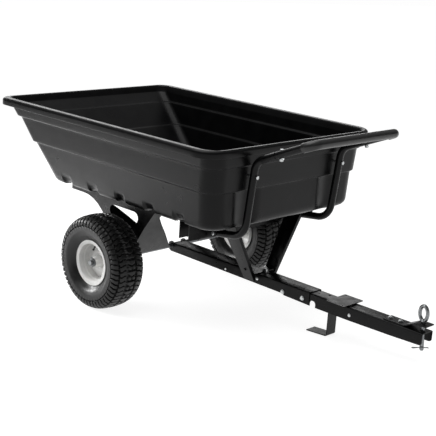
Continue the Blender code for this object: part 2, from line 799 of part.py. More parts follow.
def hitch_clip(about, height):
    """A hairpin: a straight leg through the pin, a round bow, and a leg bent over the pin's side."""
    wire, bow = CLIP_WIRE_RADIUS, CLIP_BOW
    over = PIN_RADIUS + wire + GAP
    route = [along_clip(-CLIP_TAIL, 0, height, about), along_clip(CLIP_REACH, 0, height, about)]
    for i in range(1, 12):
        angle = -math.pi / 2 + math.pi * i / 12 * 1.15
        spot = (CLIP_REACH + bow * math.cos(angle), bow + bow * math.sin(angle))
        route.append(along_clip(*spot, height + 0.003 * i / 11, about))
    bent = ((0.010, over - 0.0015), (0.004, over + 0.0008), (-0.004, over + 0.0008), (-0.012, over + 0.0004))
    for x, y in (*bent, (-CLIP_TAIL, over + 0.003)):
        route.append(along_clip(x, y, height + 0.003, about))
    add("hitch_clip", tube("hitch_clip", route, wire, 6), SPRING_STEEL, PIN_AXIS)


def latch_pedal():
    """A plate over the tongue that a foot lifts by its overhang, on two ears round its pivot bolt."""
    under = TONGUE_TOP + PEDAL_CLEAR
    x0, z0 = PEDAL_PIVOT
    plate = rounded(
        (
            (PEDAL_REAR, -PEDAL_HALF),
            (PEDAL_FRONT, -PEDAL_HALF),
            (PEDAL_FRONT, PEDAL_HALF),
            (PEDAL_REAR, PEDAL_HALF),
        ),
        (0.004,) * 4,
        2,
    )
    pedal = add("latch_pedal", prism("latch_pedal", plate, "Z", under, under + SHEET), POWDER_BLACK, PEDAL_AXIS)
    eye = 0.0088
    lean = math.atan2(under - z0, PEDAL_FRONT - 0.010 - x0)
    ear = [
        (PEDAL_FRONT - 0.001, under + SHEET / 2),
        (PEDAL_FRONT - 0.017, under + SHEET / 2),
    ]
    ear += [(x0 + eye * math.cos(a), z0 + eye * math.sin(a)) for a in (lean + math.pi * (0.5 + k / 8) for k in range(9))]
    for sign in (1, -1):
        y = sign * PEDAL_EAR_Y
        tool = prism("pedal_ear", ear, "Y", y - SHEET / 2, y + SHEET / 2)
        carve(pedal, cutter(f"pedal_ear_{sign}", tool, PEDAL_AXIS), "UNION")
        for x in (PEDAL_REAR + 0.009, PEDAL_FRONT - 0.011):
            tool = drum("hole", PEDAL_HOLE, "Z", (x, sign * (PEDAL_HALF - 0.006)), under - 0.01, under + 0.01)
            carve(pedal, cutter(f"pedal_hole_{round(x * 1000)}_{sign}", tool, PEDAL_AXIS))
    tool = drum("hole", HOLE, "Y", PEDAL_PIVOT, -0.06, 0.06)
    carve(pedal, cutter("pedal_pivot_hole", tool, PEDAL_AXIS))
    tool = drum("hole", ROD_RADIUS + SLACK, "Y", PEDAL_LINK, PEDAL_EAR_Y - 0.004, PEDAL_EAR_Y + 0.004)
    carve(pedal, cutter("pedal_link_hole", tool, PEDAL_AXIS))


def latch_hook():
    """A plate on its cross bolt: the nose lies over the saddle's front edge, a tail takes the spring."""
    x0, z0 = HOOK_PIVOT
    lip = saddle_front()
    under = saddle_top() + GAP
    outline = rounded(
        (
            (x0 - 0.007, z0 - 0.0085),
            (x0 + 0.007, z0 - 0.0085),
            (x0 + 0.0165, z0 + 0.010),
            (x0 + 0.0165, under + 0.0125),
            (x0 + 0.007, under + 0.0125),
            (lip - 0.009, under + 0.0045),
            (lip - 0.009, under),
            (lip + 0.0035, under),
            (lip + 0.0035, z0 + LINK_ARM + 0.0055),
            (x0 - 0.0055, z0 + LINK_ARM + 0.0055),
            (x0 - 0.0055, SPRING_EYE[1] + 0.004),
            (SPRING_EYE[0] - 0.003, SPRING_EYE[1] + 0.004),
            (SPRING_EYE[0] - 0.003, SPRING_EYE[1] - 0.004),
        ),
        (0.004, 0.004, 0.004, 0.003, 0.004, 0.001, 0.0005, 0.001, 0.001, 0.004, 0.001, 0.003, 0.003),
        2,
    )
    hook = add("latch_hook", prism("latch_hook", outline, "Y", -HOOK_HALF, HOOK_HALF), ZINC, HOOK_AXIS)
    holes = ((HOOK_PIVOT, HOLE), (HOOK_HOLE, ROD_RADIUS + SLACK), (SPRING_EYE, SPRING_WIRE + 0.0008))
    for i, (spot, radius) in enumerate(holes):
        carve(hook, cutter(f"hook_hole_{i}", drum("hole", radius, "Y", spot, -0.01, 0.01), HOOK_AXIS))


def latch_rod():
    """A wire rod with a cranked end in the hook and another in the pedal's left ear."""
    points = (
        (HOOK_HOLE[0], -0.0065, HOOK_HOLE[1]),
        (HOOK_HOLE[0], ROD_Y, HOOK_HOLE[1]),
        (PEDAL_LINK[0], ROD_Y, PEDAL_LINK[1]),
        (PEDAL_LINK[0], PEDAL_EAR_Y + 0.0055, PEDAL_LINK[1]),
    )
    add("latch_rod", tube("latch_rod", path_of(points, (0.0035, 0.0028)), ROD_RADIUS, 8, (-SIN_P, 0, COS_P)), ZINC, ROD_AXIS)


def latch_spring():
    """An extension spring with long leads: a loop round its bolt, turns, and an eye in the hook."""
    start = Vector((SPRING_BOLT[0], 0, SPRING_BOLT[1]))
    end = Vector((SPRING_EYE[0], 0, SPRING_EYE[1]))
    along = (end - start).normalized()
    over = Vector((-along.z, 0, along.x))
    side = Vector((0, 1, 0))
    loop = SMALL_BOLT_RADIUS + GAP + SPRING_WIRE
    route = []
    for i in range(11):
        angle = math.pi * (1.5 - 1.72 * i / 10)
        route.append(start + along * loop * math.cos(angle) * -1 + over * loop * math.sin(angle) + side * 0.0022 * (i / 10 - 0.5))
    route = route[::-1]
    route = [route[0]] + route[1:]
    coil_length = SPRING_TURNS * SPRING_PITCH
    coil_start = ((end - start).length - coil_length) / 2
    coil = []
    for i in range(SPRING_TURNS * 6 + 1):
        angle = 2 * math.pi * i / 6
        ease = min(1, i / 3, (SPRING_TURNS * 6 - i) / 3)
        reach = SPRING_RADIUS * max(ease, 0.08)
        coil.append(
            start
            + along * (coil_start + coil_length * i / (SPRING_TURNS * 6))
            + over * reach * math.cos(angle)
            + side * reach * math.sin(angle)
        )
    tail = [end - along * 0.010, end - along * 0.0045 + side * 0.0045, end + side * 0.0042, end - side * 0.0042]
    hook_end = [tail[0], tail[1], tail[2], tail[3]]
    first = [p for p in route if (p - start).dot(along) < loop]
    points = first + [start + along * (loop + 0.006) + over * 0.0002] + coil + hook_end
    add("latch_spring", tube("latch_spring", points, SPRING_WIRE, 4), SPRING_STEEL, CART)
    print("least gap of the spring to itself", round(1000 * least_gap(points, SPRING_WIRE), 2), "mm")


def least_gap(points, radius):
    """The smallest clear distance between stretches of a wire that aren't neighbours."""
    least = 1.0
    for i in range(len(points)):
        for j in range(i + 6, len(points)):
            least = min(least, (points[i] - points[j]).length - 2 * radius)
    return least


def axle_and_ends():
    """The axle with a collar behind each wheel, and the washer and split pin in front of it."""
    reach = WHEEL_Y + HUB_OUTER + BUSH_FLANGE + WASHER_THICK + 3 * GAP + AXLE_OVERHANG
    axle = add("axle", drum("axle", AXLE_RADIUS, "Y", (AXLE_X, AXLE_Z), -reach, reach, 20), ZINC, CART)
    for side, sign in (("left", 1), ("right", -1)):
        inner = WHEEL_Y - HUB_INNER - BUSH_FLANGE
        ring = drum("collar", COLLAR_RADIUS, "Y", (AXLE_X, AXLE_Z), *sorted((sign * inner, sign * (inner - COLLAR_WIDTH))), 16)
        carve(axle, cutter(f"axle_collar_{side}", ring), "UNION")
        face = WHEEL_Y + HUB_OUTER + BUSH_FLANGE + 2 * GAP
        profile = (
            (sign * face, AXLE_RADIUS + GAP),
            (sign * face, WASHER_RADIUS),
            (sign * (face + WASHER_THICK), WASHER_RADIUS),
            (sign * (face + WASHER_THICK), AXLE_RADIUS + GAP),
        )
        add(f"washer_{side}", lathe("washer", profile, (AXLE_X, 0, AXLE_Z), 16), ZINC, CART)
        spot = sign * (face + WASHER_THICK + GAP + CLIP_WIRE + 0.001)
        hole = drum("hole", CLIP_WIRE + GAP, "Z", (AXLE_X, spot), AXLE_Z - 0.02, AXLE_Z + 0.02, 8)
        carve(axle, cutter(f"axle_clip_hole_{side}", hole))
        add(f"axle_clip_{side}", axle_clip_mesh(spot, sign), ZINC, CART)


def axle_clip_mesh(y, sign):
    """A split pin: a round eye above the axle, a leg through it and its end bent over."""
    top = AXLE_RADIUS + 0.0035
    route = []
    for i in range(1, 10):
        angle = -math.pi / 2 + 2 * math.pi * i / 10.6
        route.append((0.0045 * math.cos(angle) + 0.0004, y, top + 0.0055 + 0.0045 * math.sin(angle)))
    route = route[::-1]
    route += [(0, y, top - 0.001), (0, y, -AXLE_RADIUS - 0.002)]
    route += [(0.003, y + sign * 0.0004, -AXLE_RADIUS - 0.005), (0.009, y + sign * 0.001, -AXLE_RADIUS - 0.006)]
    return tube("axle_clip", [(AXLE_X + a, b, AXLE_Z + c) for a, b, c in route], CLIP_WIRE, 6)


def tyre_mesh(centre):
    """A turf tyre: an open carcass whose shoulder and tread points step in between its lugs."""
    half = TYRE_HALF_WIDTH
    seat = RIM_SEAT_RADIUS + GAP
    bead = RIM_HALF_WIDTH - RIM_SHEET - 0.0045
    inside = TYRE_RADIUS - TYRE_WALL - LUG_DEPTH - 0.002
    outer = (
        (bead - 0.0035, seat, 0),
        (bead + 0.0013, RIM_LIP_RADIUS - 0.006, 0),
        (bead + 0.0030, RIM_LIP_RADIUS + 0.0020, 0),
        (half * 0.93, TYRE_RADIUS * 0.63, 0),
        (half, TYRE_RADIUS * 0.78, 0),
        (half * 0.965, TYRE_RADIUS * 0.875, 1),
        (half * 0.80, TYRE_RADIUS * 0.955, 1),
        (half * 0.36, TYRE_RADIUS * 0.995, 1),
    )
    inner = ((half * 0.66, inside), (half * 0.86, TYRE_RADIUS * 0.76), (bead - 0.012, seat))
    profile = list(outer)
    profile.append((0.0, TYRE_RADIUS, 0))
    profile += [(-s, r, -d) for s, r, d in reversed(outer)]
    profile += [(-s, r, 0) for s, r in reversed(inner)]
    profile += [(s, r, 0) for s, r in inner]
    rings = []
    count = LUG_COUNT * 2
    for i in range(count):
        angle = -math.pi / 2 + 2 * math.pi * i / count
        ring = []
        for s, r, step in profile:
            sunk = step and (i + (step < 0)) % 2
            radius = r - (LUG_DEPTH if sunk else 0)
            ring.append((centre[0] + radius * math.cos(angle), centre[1] + s, centre[2] + radius * math.sin(angle)))
        rings.append(ring)
    return loft("tyre", rings, closed=True)


def rim_mesh(centre, sign):
    """A pressed rim: two lips, a barrel, a dished disc and a hub tube, as one turned section."""
    half, sheet = RIM_HALF_WIDTH, RIM_SHEET
    lip, seat = RIM_LIP_RADIUS, RIM_SEAT_RADIUS
    bore = AXLE_RADIUS + GAP + BUSH_WALL + GAP
    inner = seat - sheet
    section = (
        (half - 0.0005, lip),
        (half - 0.0035, lip - 0.0015),
        (half - sheet - 0.003, seat + 0.003),
        (half - sheet - 0.0075, seat),
        (-half + sheet + 0.0075, seat),
        (-half + sheet + 0.003, seat + 0.003),
        (-half + 0.0035, lip - 0.0015),
        (-half + 0.0005, lip),
        (-half + 0.001, inner + 0.004),
        (-half + 0.009, inner),
        (0.006, inner),
        (0.004, inner - 0.010),
        (0.010, 0.044),
        (0.006, HUB_RADIUS + 0.002),
        (-HUB_INNER, HUB_RADIUS - 0.003),
        (-HUB_INNER, bore),
        (HUB_OUTER, bore),
        (HUB_OUTER, HUB_RADIUS - 0.003),
        (0.012, HUB_RADIUS + 0.002),
        (0.014, 0.044),
        (0.009, inner - 0.011),
        (0.013, inner),
        (half - 0.009, inner),
        (half - 0.001, inner + 0.004),
    )
    profile = [(sign * s, r) for s, r in section]
    return lathe("rim", profile, centre, 24, -math.pi / 2)


def wheels():
    for side, sign in (("left", 1), ("right", -1)):
        frame = WHEEL_AXES[side]
        centre = (0, sign * WHEEL_Y, 0)
        shift = Matrix.Translation((0, -sign * WHEEL_Y, 0))
        pieces = []
        pieces.append(add(f"tyre_{side}", tyre_mesh(centre), RUBBER, CART))
        rim = add(f"rim_{side}", rim_mesh(centre, sign), RIM_GREY, CART)
        pieces.append(rim)
        bore = AXLE_RADIUS + GAP
        outer = bore + BUSH_WALL
        start, end = -HUB_INNER - 0.001, HUB_OUTER + GAP
        section = (
            (start, bore),
            (start, outer),
            (end, outer),
            (end, outer + 0.004),
            (end + BUSH_FLANGE - GAP, outer + 0.004),
            (end + BUSH_FLANGE - GAP, bore),
        )
        profile = [(sign * s, r) for s, r in section]
        pieces.append(add(f"wheel_bush_{side}", lathe("wheel_bush", profile, centre, 16), NYLON, CART))
        pieces.append(valve(side, sign, rim))
        pieces.append(bpy.data.objects[f"valve_hole_{side}"])
        for piece in pieces:
            piece.parent = frame
            piece.matrix_parent_inverse = shift


def valve(side, sign, rim):
    """A rubber valve that stands through the barrel, leaning towards the open side of the disc."""
    foot = Vector((0, sign * (WHEEL_Y + RIM_HALF_WIDTH * 0.45), 0))
    radial = Vector((math.cos(VALVE_ANGLE), 0, math.sin(VALVE_ANGLE)))
    lean = (-radial * 0.8 + Vector((0, sign * 0.6, 0))).normalized()
    base = foot + radial * (RIM_SEAT_RADIUS + 0.0035)
    tip = base + lean * VALVE_LENGTH
    carve(rim, cutter(f"valve_hole_{side}", tube("valve_hole", (base - lean * 0.004, tip), VALVE_RADIUS + GAP, 10), CART))
    return add(f"valve_{side}", tube("valve", (base, tip), VALVE_RADIUS, 8), RUBBER, CART)


def wall_loop(half, rear, front, z, rear_corner, front_corner, scoop=0.0):
    """A level of the tub: a rounded rectangle whose front can be drawn in by the two scoops."""
    points = []
    steps = 4
    for y in front_stations():
        points.append((front - scoop * scoop_shape(y), y, z))
    for cx, cy, radius, start in (
        (front - front_corner, half - front_corner, front_corner, 0),
        (rear + rear_corner, half - rear_corner, rear_corner, 1),
        (rear + rear_corner, rear_corner - half, rear_corner, 2),
        (front - front_corner, front_corner - half, front_corner, 3),
    ):
        for k in range(steps + 1):
            angle = math.pi / 2 * (start + k / steps)
            points.append((cx + radius * math.cos(angle), cy + radius * math.sin(angle), z))
    return points


def front_stations():
    """Where the front wall's levels are sampled: closely over the scoops, sparsely between them."""
    across = (SCOOP_Y + SCOOP_HALF * t for t in (-1, -0.72, -0.4, 0, 0.4, 0.72, 1))
    right = [-y for y in across]
    return sorted(right) + [0.0] + sorted(-y for y in right)


def scoop_shape(y):
    """One in the middle of a scoop, falling smoothly to nothing at its edges."""
    across = (abs(y) - SCOOP_Y) / SCOOP_HALF
    return 0.5 * (1 + math.cos(math.pi * across)) if abs(across) < 1 else 0.0


def tub_levels(inset):
    """The tub's levels from its floor up to the neck, drawn in by the inset (0 outside, the wall inside)."""
    levels = []
    fillet = FLOOR_FILLET - inset
    for k in range(5):
        angle = math.pi / 2 * k / 4
        back = fillet * (1 - math.sin(angle)) + inset
        rise = fillet * (1 - math.cos(angle)) + inset
        levels.append(
            (FLOOR_HALF - back, FLOOR_REAR + back, FLOOR_FRONT - back, FLOOR_Z + rise, SCOOP_DEPTH * (0.25 + 0.75 * math.sin(angle)))
        )
    low, high = LEDGE, 0.0
    for half, rear, front, z in (
        (LOW_HALF, LOW_REAR, LOW_FRONT, LOW_LEDGE_Z),
        (HIGH_HALF, HIGH_REAR, HIGH_FRONT, HIGH_LEDGE_Z),
    ):
        for back, rise in ((low, -LEDGE_RISE), (high, 0.0)):
            scoop = SCOOP_DEPTH if (z == LOW_LEDGE_Z and back) else 0.0
            levels.append((half - back - inset, rear + back + inset, front - back * 0.7 - inset, z + rise + inset * 0.5, scoop))
    levels.append((NECK_HALF - inset, NECK_REAR + inset, NECK_FRONT - inset, LIP_UNDER_Z, 0.0))
    return levels


def loop_at(level, inset):
    half, rear, front, z, scoop = level
    return wall_loop(half, rear, front, z, REAR_CORNER - inset * 0.6, FRONT_CORNER - inset * 0.6, scoop)


def flute_path(depth_out):
    """The middle of a flute's cutter along the wall and floor section, in y and z."""
    wall_top = FLOOR_Z + FLUTE_RISE
    surface = [((FLOOR_HALF, wall_top), (1, 0)), ((FLOOR_HALF, FLOOR_Z + FLOOR_FILLET), (1, 0))]
    for k in range(1, 5):
        angle = math.pi / 2 * k / 4
        normal = (math.cos(angle), -math.sin(angle))
        centre = (FLOOR_HALF - FLOOR_FILLET, FLOOR_Z + FLOOR_FILLET)
        surface.append(((centre[0] + FLOOR_FILLET * normal[0], centre[1] + FLOOR_FILLET * normal[1]), normal))
    sinks = (0.0, 0.55, 1, 1, 1, 1)
    side = []
    for ((y, z), (ny, nz)), sink in zip(surface, sinks):
        out = depth_out - FLUTE_DEPTH * sink
        side.append((y + ny * out, z + nz * out))
    return side + [(-y, z) for y, z in reversed(side)]


def flute_mesh(x, spread):
    """One flute's cutter: an elliptical section carried along the flute's path."""
    depth = FLUTE_DEPTH + 0.003
    path = [Vector(p) for p in flute_path(depth)]
    rings = []
    for i, point in enumerate(path):
        along = (path[min(i + 1, len(path) - 1)] - path[max(i - 1, 0)]).normalized()
        normal = Vector((-along.y, along.x))
        ring = []
        for a, b in circle(1, ROUND_SIDES, math.pi / ROUND_SIDES):
            spot = point + normal * b * (depth + spread)
            ring.append((x + a * (FLUTE_HALF + spread), spot.x, spot.y))
        rings.append(ring)
    return loft("flute", rings)


def tub():
    """The moulded tub: an outer skin with a hollow rolled lip, less a cavity, with fluted floor."""
    outer = [loop_at(level, 0) for level in tub_levels(0)]
    under = RIM_Z - WALL
    rim = (
        (NECK_HALF, NECK_REAR, NECK_FRONT, under),
        (RIM_HALF - WALL, RIM_REAR + WALL, RIM_FRONT - WALL, under),
        (RIM_HALF - WALL, RIM_REAR + WALL, RIM_FRONT - WALL, LIP_UNDER_Z),
        (RIM_HALF, RIM_REAR, RIM_FRONT, LIP_UNDER_Z),
        (RIM_HALF, RIM_REAR, RIM_FRONT, RIM_Z - 0.006),
        (RIM_HALF - 0.006, RIM_REAR + 0.006, RIM_FRONT - 0.0045, RIM_Z),
        (NECK_HALF + 0.002, NECK_REAR - 0.002, NECK_FRONT + 0.001, RIM_Z),
    )
    for half, rear, front, z in rim:
        outer.append(wall_loop(half, rear, front, z, REAR_CORNER, FRONT_CORNER + (half - NECK_HALF) * 0.5))
    body = add("tub", loft("tub", outer), MOULDED_BLACK, TUB_AXIS)
    inner = [loop_at(level, WALL) for level in tub_levels(WALL)]
    top = wall_loop(NECK_HALF - WALL, NECK_REAR + WALL, NECK_FRONT - WALL, RIM_Z + 0.01, REAR_CORNER - 0.003, FRONT_CORNER - 0.003)
    cavity = cutter("tub_cavity", loft("tub_cavity", inner + [top]), TUB_AXIS)
    for i in range(FLUTE_COUNT):
        x = FLUTE_FIRST_X + i * FLUTE_PITCH
        groove = cutter(f"flute_{i}", flute_mesh(x, 0.0), TUB_AXIS)
        rib = cutter(f"flute_rib_{i}", flute_mesh(x, WALL), TUB_AXIS)
        carve(body, groove)
        carve(cavity, rib)
    carve(body, cavity)
    for sign in (1, -1):
        hole = drum("hole", HOLE, "X", (sign * HANDLE_Y, WALL_BOLT_Z), LOW_FRONT - 0.04, HIGH_FRONT + 0.04)
        carve(body, cutter(f"wall_bolt_hole_{sign}", hole, TUB_AXIS))
        for x, y, _ in floor_bolts():
            hole = drum("hole", HOLE, "Z", (x, sign * y), FLOOR_Z - 0.02, FLOOR_Z + 0.03)
            carve(body, cutter(f"floor_hole_{round(x * 1000)}_{sign}", hole, TUB_AXIS))


def floor_bolts():
    """Where the floor is bolted down on each side, to the axle bracket and to the cross-member,
    and the height of the seat: the second bolt sits on the flat crown of the last floor rib."""
    crown = (FLUTE_DEPTH + 0.003 + WALL) * math.cos(math.pi / ROUND_SIDES) - 0.003
    return (
        (AXLE_X + BRACKET_BOLT[0], BRACKET_Y - BRACKET_BOLT[1], FLOOR_Z + WALL),
        (FLUTE_LAST_X, 0.200, FLOOR_Z + crown),
    )


def plate_top():
    return FLOOR_Z - GAP


def floor_fasteners():
    for sign, side in ((1, "left"), (-1, "right")):
        for (x, y, seat), name in zip(floor_bolts(), ("bracket_bolt", "member_bolt")):
            grip = seat - plate_top() + SHEET
            mesh = bolt_mesh(name, (x, sign * y, seat), (0, 0, -1), grip, dome=True, tail=0.006)
            add(f"{name}_{side}", mesh, ZINC, TUB_AXIS)


def cross_member():
    """A folded channel under the floor, with ears in front that hold the handle's lower ends."""
    rear, front, foot, top = MEMBER_REAR, MEMBER_FRONT, MEMBER_FOOT, plate_top()
    outline = (
        (rear, foot),
        (rear, top),
        (front, top),
        (front, foot),
        (front - SHEET, foot),
        (front - SHEET, top - SHEET),
        (rear + SHEET, top - SHEET),
        (rear + SHEET, foot),
    )
    member = add("cross_member", prism("cross_member", outline, "Y", -MEMBER_HALF, MEMBER_HALF), POWDER_BLACK, TUB_AXIS)
    x, z = RUN_BOLT_X, run_height(RUN_BOLT_X)
    ear = rounded(((front - 0.001, z - 0.018), (x + 0.013, z - 0.010), (x + 0.013, z + 0.010), (front - 0.001, z + 0.018)), (0, 0.009, 0.009, 0))
    for sign in (1, -1):
        for offset in (-1, 1):
            y = sign * HANDLE_Y + offset * (HANDLE_RADIUS + GAP + SHEET / 2)
            tool = prism("member_ear", ear, "Y", y - SHEET / 2, y + SHEET / 2)
            carve(member, cutter(f"member_ear_{sign}_{offset}", tool, TUB_AXIS), "UNION")
        hole = drum("hole", HOLE, "Y", (x, z), sign * HANDLE_Y - 0.03, sign * HANDLE_Y + 0.03)
        carve(member, cutter(f"member_hole_{sign}", hole, TUB_AXIS))
        bx, by, _ = floor_bolts()[1]
        hole = drum("hole", HOLE, "Z", (bx, sign * by), top - 0.01, top + 0.01)
        carve(member, cutter(f"member_floor_hole_{sign}", hole, TUB_AXIS))


def brace_at(z, out=0.0):
    """The brace's outer face at a height, moved inwards and up along its normal by out."""
    run = math.hypot(BRACE_SLOPE, 1)
    y = BRACE_FOOT[0] + BRACE_SLOPE * (z - BRACE_FOOT[1])
    return y - out / run, z + out * BRACE_SLOPE / run


def braces():
    """Two folded channels that lean out from the saddle to the tub's floor."""
    top = plate_top() - 0.0005
    for sign, side in ((1, "left"), (-1, "right")):
        rings = []
        for z, (rear, front) in ((BRACE_FOOT[1], BRACE_FOOT_X), (top - 0.001, BRACE_TOP_X)):
            section = (
                (rear, 0),
                (front, 0),
                (front, BRACE_FLANGE),
                (front - SHEET, BRACE_FLANGE),
                (front - SHEET, SHEET),
                (rear + SHEET, SHEET),
                (rear + SHEET, BRACE_FLANGE),
                (rear, BRACE_FLANGE),
            )
            ring = []
            for x, out in section:
                y, height = brace_at(z, out)
                ring.append((x, sign * y, height))
            rings.append(ring)
        brace = add(f"brace_{side}", loft("brace", rings), POWDER_BLACK, TUB_AXIS)
        y, _ = brace_at(top)
        tab = box("brace_tab", (BRACE_TOP_X[0] + 0.004, BRACE_TOP_X[1] - 0.004), sorted((sign * (y - 0.004), sign * (y + BRACE_TAB))), (top - SHEET, top))
        carve(brace, cutter(f"brace_tab_{side}", tab, TUB_AXIS), "UNION")
        reach = (BRACE_TOP_X[0] - 0.05, BRACE_TOP_X[1] + 0.05)
        lid = box("brace_trim", reach, sorted((sign * (y - 0.10), sign * (y + 0.10))), (top, top + 0.03))
        carve(brace, cutter(f"brace_trim_{side}", lid, TUB_AXIS))
        seat, direction = saddle_bolt(sign)
        hole = tube("hole", (seat - direction * 0.02, seat + direction * 0.02), SMALL_HOLE, 12)
        carve(brace, cutter(f"brace_hole_{side}", hole, TUB_AXIS))


def saddle_top():
    return BEAM_TOP + GAP + SHEET


def saddle_front():
    return BRACE_FOOT_X[1] - SHEET - 0.0015


def saddle_bolt(sign):
    """The seat on the brace's outer face and the inward direction of a saddle bolt."""
    run = math.hypot(BRACE_SLOPE, 1)
    y, z = brace_at(saddle_top() + SADDLE_TAB * 0.55)
    mid = (BRACE_FOOT_X[0] + BRACE_FOOT_X[1]) / 2
    return Vector((mid, sign * y, z)), Vector((0, -sign / run, BRACE_SLOPE / run))


def latch_saddle():
    """A strap across the beam's top, bent up at both ends along the inner faces of the braces."""
    out = SHEET + GAP + SHEET / 2
    level = saddle_top() - SHEET / 2
    run = math.hypot(BRACE_SLOPE, 1)
    knee = BRACE_FOOT[0] + BRACE_SLOPE * (level - BRACE_FOOT[1]) - out * run
    tip = knee + SADDLE_TAB * BRACE_SLOPE / run
    height = level + SADDLE_TAB / run
    points = ((-tip, height), (-knee, level), (knee, level), (tip, height))
    rear = BRACE_FOOT_X[0] + SHEET + 0.0015
    saddle = add("latch_saddle", strip("latch_saddle", points, (0.010, 0.010), SHEET, "X", rear, saddle_front()), POWDER_BLACK, TUB_AXIS)
    for sign, side in ((1, "left"), (-1, "right")):
        seat, direction = saddle_bolt(sign)
        hole = tube("hole", (seat - direction * 0.02, seat + direction * 0.02), SMALL_HOLE, 12)
        carve(saddle, cutter(f"saddle_hole_{side}", hole, TUB_AXIS))
        mesh = bolt_mesh("saddle_bolt", seat, direction, 2 * SHEET + GAP, SMALL_BOLT_RADIUS, tail=0.005)
        add(f"saddle_bolt_{side}", mesh, POWDER_BLACK, TUB_AXIS)


def bracket_outline(inset):
    """The side of an axle bracket, drawn in by the inset: a straight flank in front, a lug round
    the axle, a hollow arch behind it and a tail along the floor."""
    top = plate_top() - AXLE_Z
    end, arch_end, tail_z = BRACKET_TAIL
    lug = [(BRACKET_LUG * math.cos(a), BRACKET_LUG * math.sin(a)) for a in (-math.pi * k / 8 for k in range(9))]
    arch = []
    for k in range(1, 9):
        t = k / 8
        a, b, c = t * t, 2 * t * (1 - t), (1 - t) ** 2
        arch.append((a * arch_end + b * BRACKET_ARCH[0] - c * BRACKET_LUG, a * tail_z + b * BRACKET_ARCH[1]))
    points = [(BRACKET_FLANK[0][0], top), *BRACKET_FLANK[1:], *lug, *arch, (end, tail_z), (end, top)]
    outline = []
    for i, point in enumerate(points):
        here = Vector(point)
        behind = (here - Vector(points[i - 1])).normalized()
        ahead = (Vector(points[(i + 1) % len(points)]) - here).normalized()
        inward = Vector((behind.y + ahead.y, -behind.x - ahead.x)).normalized()
        spot = here + inward * (inset / max(0.5, inward.dot(Vector((ahead.y, -ahead.x)))))
        outline.append((AXLE_X + spot.x, AXLE_Z + spot.y))
    return outline


def axle_brackets():
    """Stamped brackets: a windowed side plate with flanks folded in and a top flange under the floor."""
    (low_y, low_z), (knee_y, knee_z), (high_y, high_z) = BRACKET_INNER
    span = (AXLE_X + BRACKET_TAIL[0] - 0.02, AXLE_X + BRACKET_FLANK[0][0] + 0.02)
    for sign, side in ((1, "left"), (-1, "right")):
        depth = sorted((sign * (low_y - 0.001), sign * BRACKET_Y))
        body = add(f"axle_bracket_{side}", prism("axle_bracket", bracket_outline(0), "Y", *depth), POWDER_BLACK, TUB_AXIS)
        hollow = prism("hollow", bracket_outline(SHEET), "Y", *sorted((sign * (low_y - 0.02), sign * (BRACKET_Y - SHEET))))
        carve(body, cutter(f"bracket_hollow_{side}", hollow, TUB_AXIS))
        wedge = (
            (sign * (low_y - 0.03), AXLE_Z - 0.05),
            (sign * low_y, AXLE_Z - 0.05),
            (sign * low_y, AXLE_Z + low_z),
            (sign * knee_y, AXLE_Z + knee_z),
            (sign * high_y, AXLE_Z + high_z),
            (sign * (low_y - 0.03), AXLE_Z + high_z),
        )
        carve(body, cutter(f"bracket_wedge_{side}", prism("wedge", wedge, "X", *span), TUB_AXIS))
        foot = box("foot", span, sorted((0, sign * (BRACKET_Y - SHEET))), (AXLE_Z - 0.06, AXLE_Z + BRACKET_WEB_FOOT))
        carve(body, cutter(f"bracket_foot_{side}", foot, TUB_AXIS))
        window = rounded([(AXLE_X + x, AXLE_Z + z) for x, z in WINDOW], (WINDOW_CORNER,) * 3, 4)
        reach = sorted((sign * (BRACKET_Y - 0.01), sign * (BRACKET_Y + 0.01)))
        carve(body, cutter(f"bracket_window_{side}", prism("window", window, "Y", *reach), TUB_AXIS))
        bore = AXLE_RADIUS + GAP + BUSH_WALL + GAP
        carve(body, cutter(f"bracket_bore_{side}", drum("bore", bore, "Y", (AXLE_X, AXLE_Z), *reach, 20), TUB_AXIS))
        x, y, _ = floor_bolts()[0]
        hole = drum("hole", HOLE, "Z", (x, sign * y), plate_top() - 0.01, plate_top() + 0.01)
        carve(body, cutter(f"bracket_bolt_hole_{side}", hole, TUB_AXIS))
        outer = bore - GAP
        inner = AXLE_RADIUS + GAP
        face = BRACKET_Y + GAP
        section = (
            (BRACKET_Y - SHEET - 0.004, inner),
            (BRACKET_Y - SHEET - 0.004, outer),
            (face, outer),
            (face, outer + 0.006),
            (face + BUSH_FLANGE, outer + 0.006),
            (face + BUSH_FLANGE, inner),
        )
        profile = [(sign * s, r) for s, r in section]
        add(f"axle_bush_{side}", lathe("axle_bush", profile, (AXLE_X, 0, AXLE_Z), 16), NYLON, TUB_AXIS)


def run_height(x):
    """The height of the handle's lower run at x."""
    t = (x - RUN_REAR[0]) / (RUN_CORNER[0] - RUN_REAR[0])
    return RUN_REAR[1] + t * (RUN_CORNER[1] - RUN_REAR[1])


def arm_height(x):
    """The height of the handle's slanted arm at x."""
    t = (x - ARM_JOINT[0]) / (BAR_CENTRE[0] - ARM_JOINT[0])
    return ARM_JOINT[1] + t * (BAR_CENTRE[1] - ARM_JOINT[1])


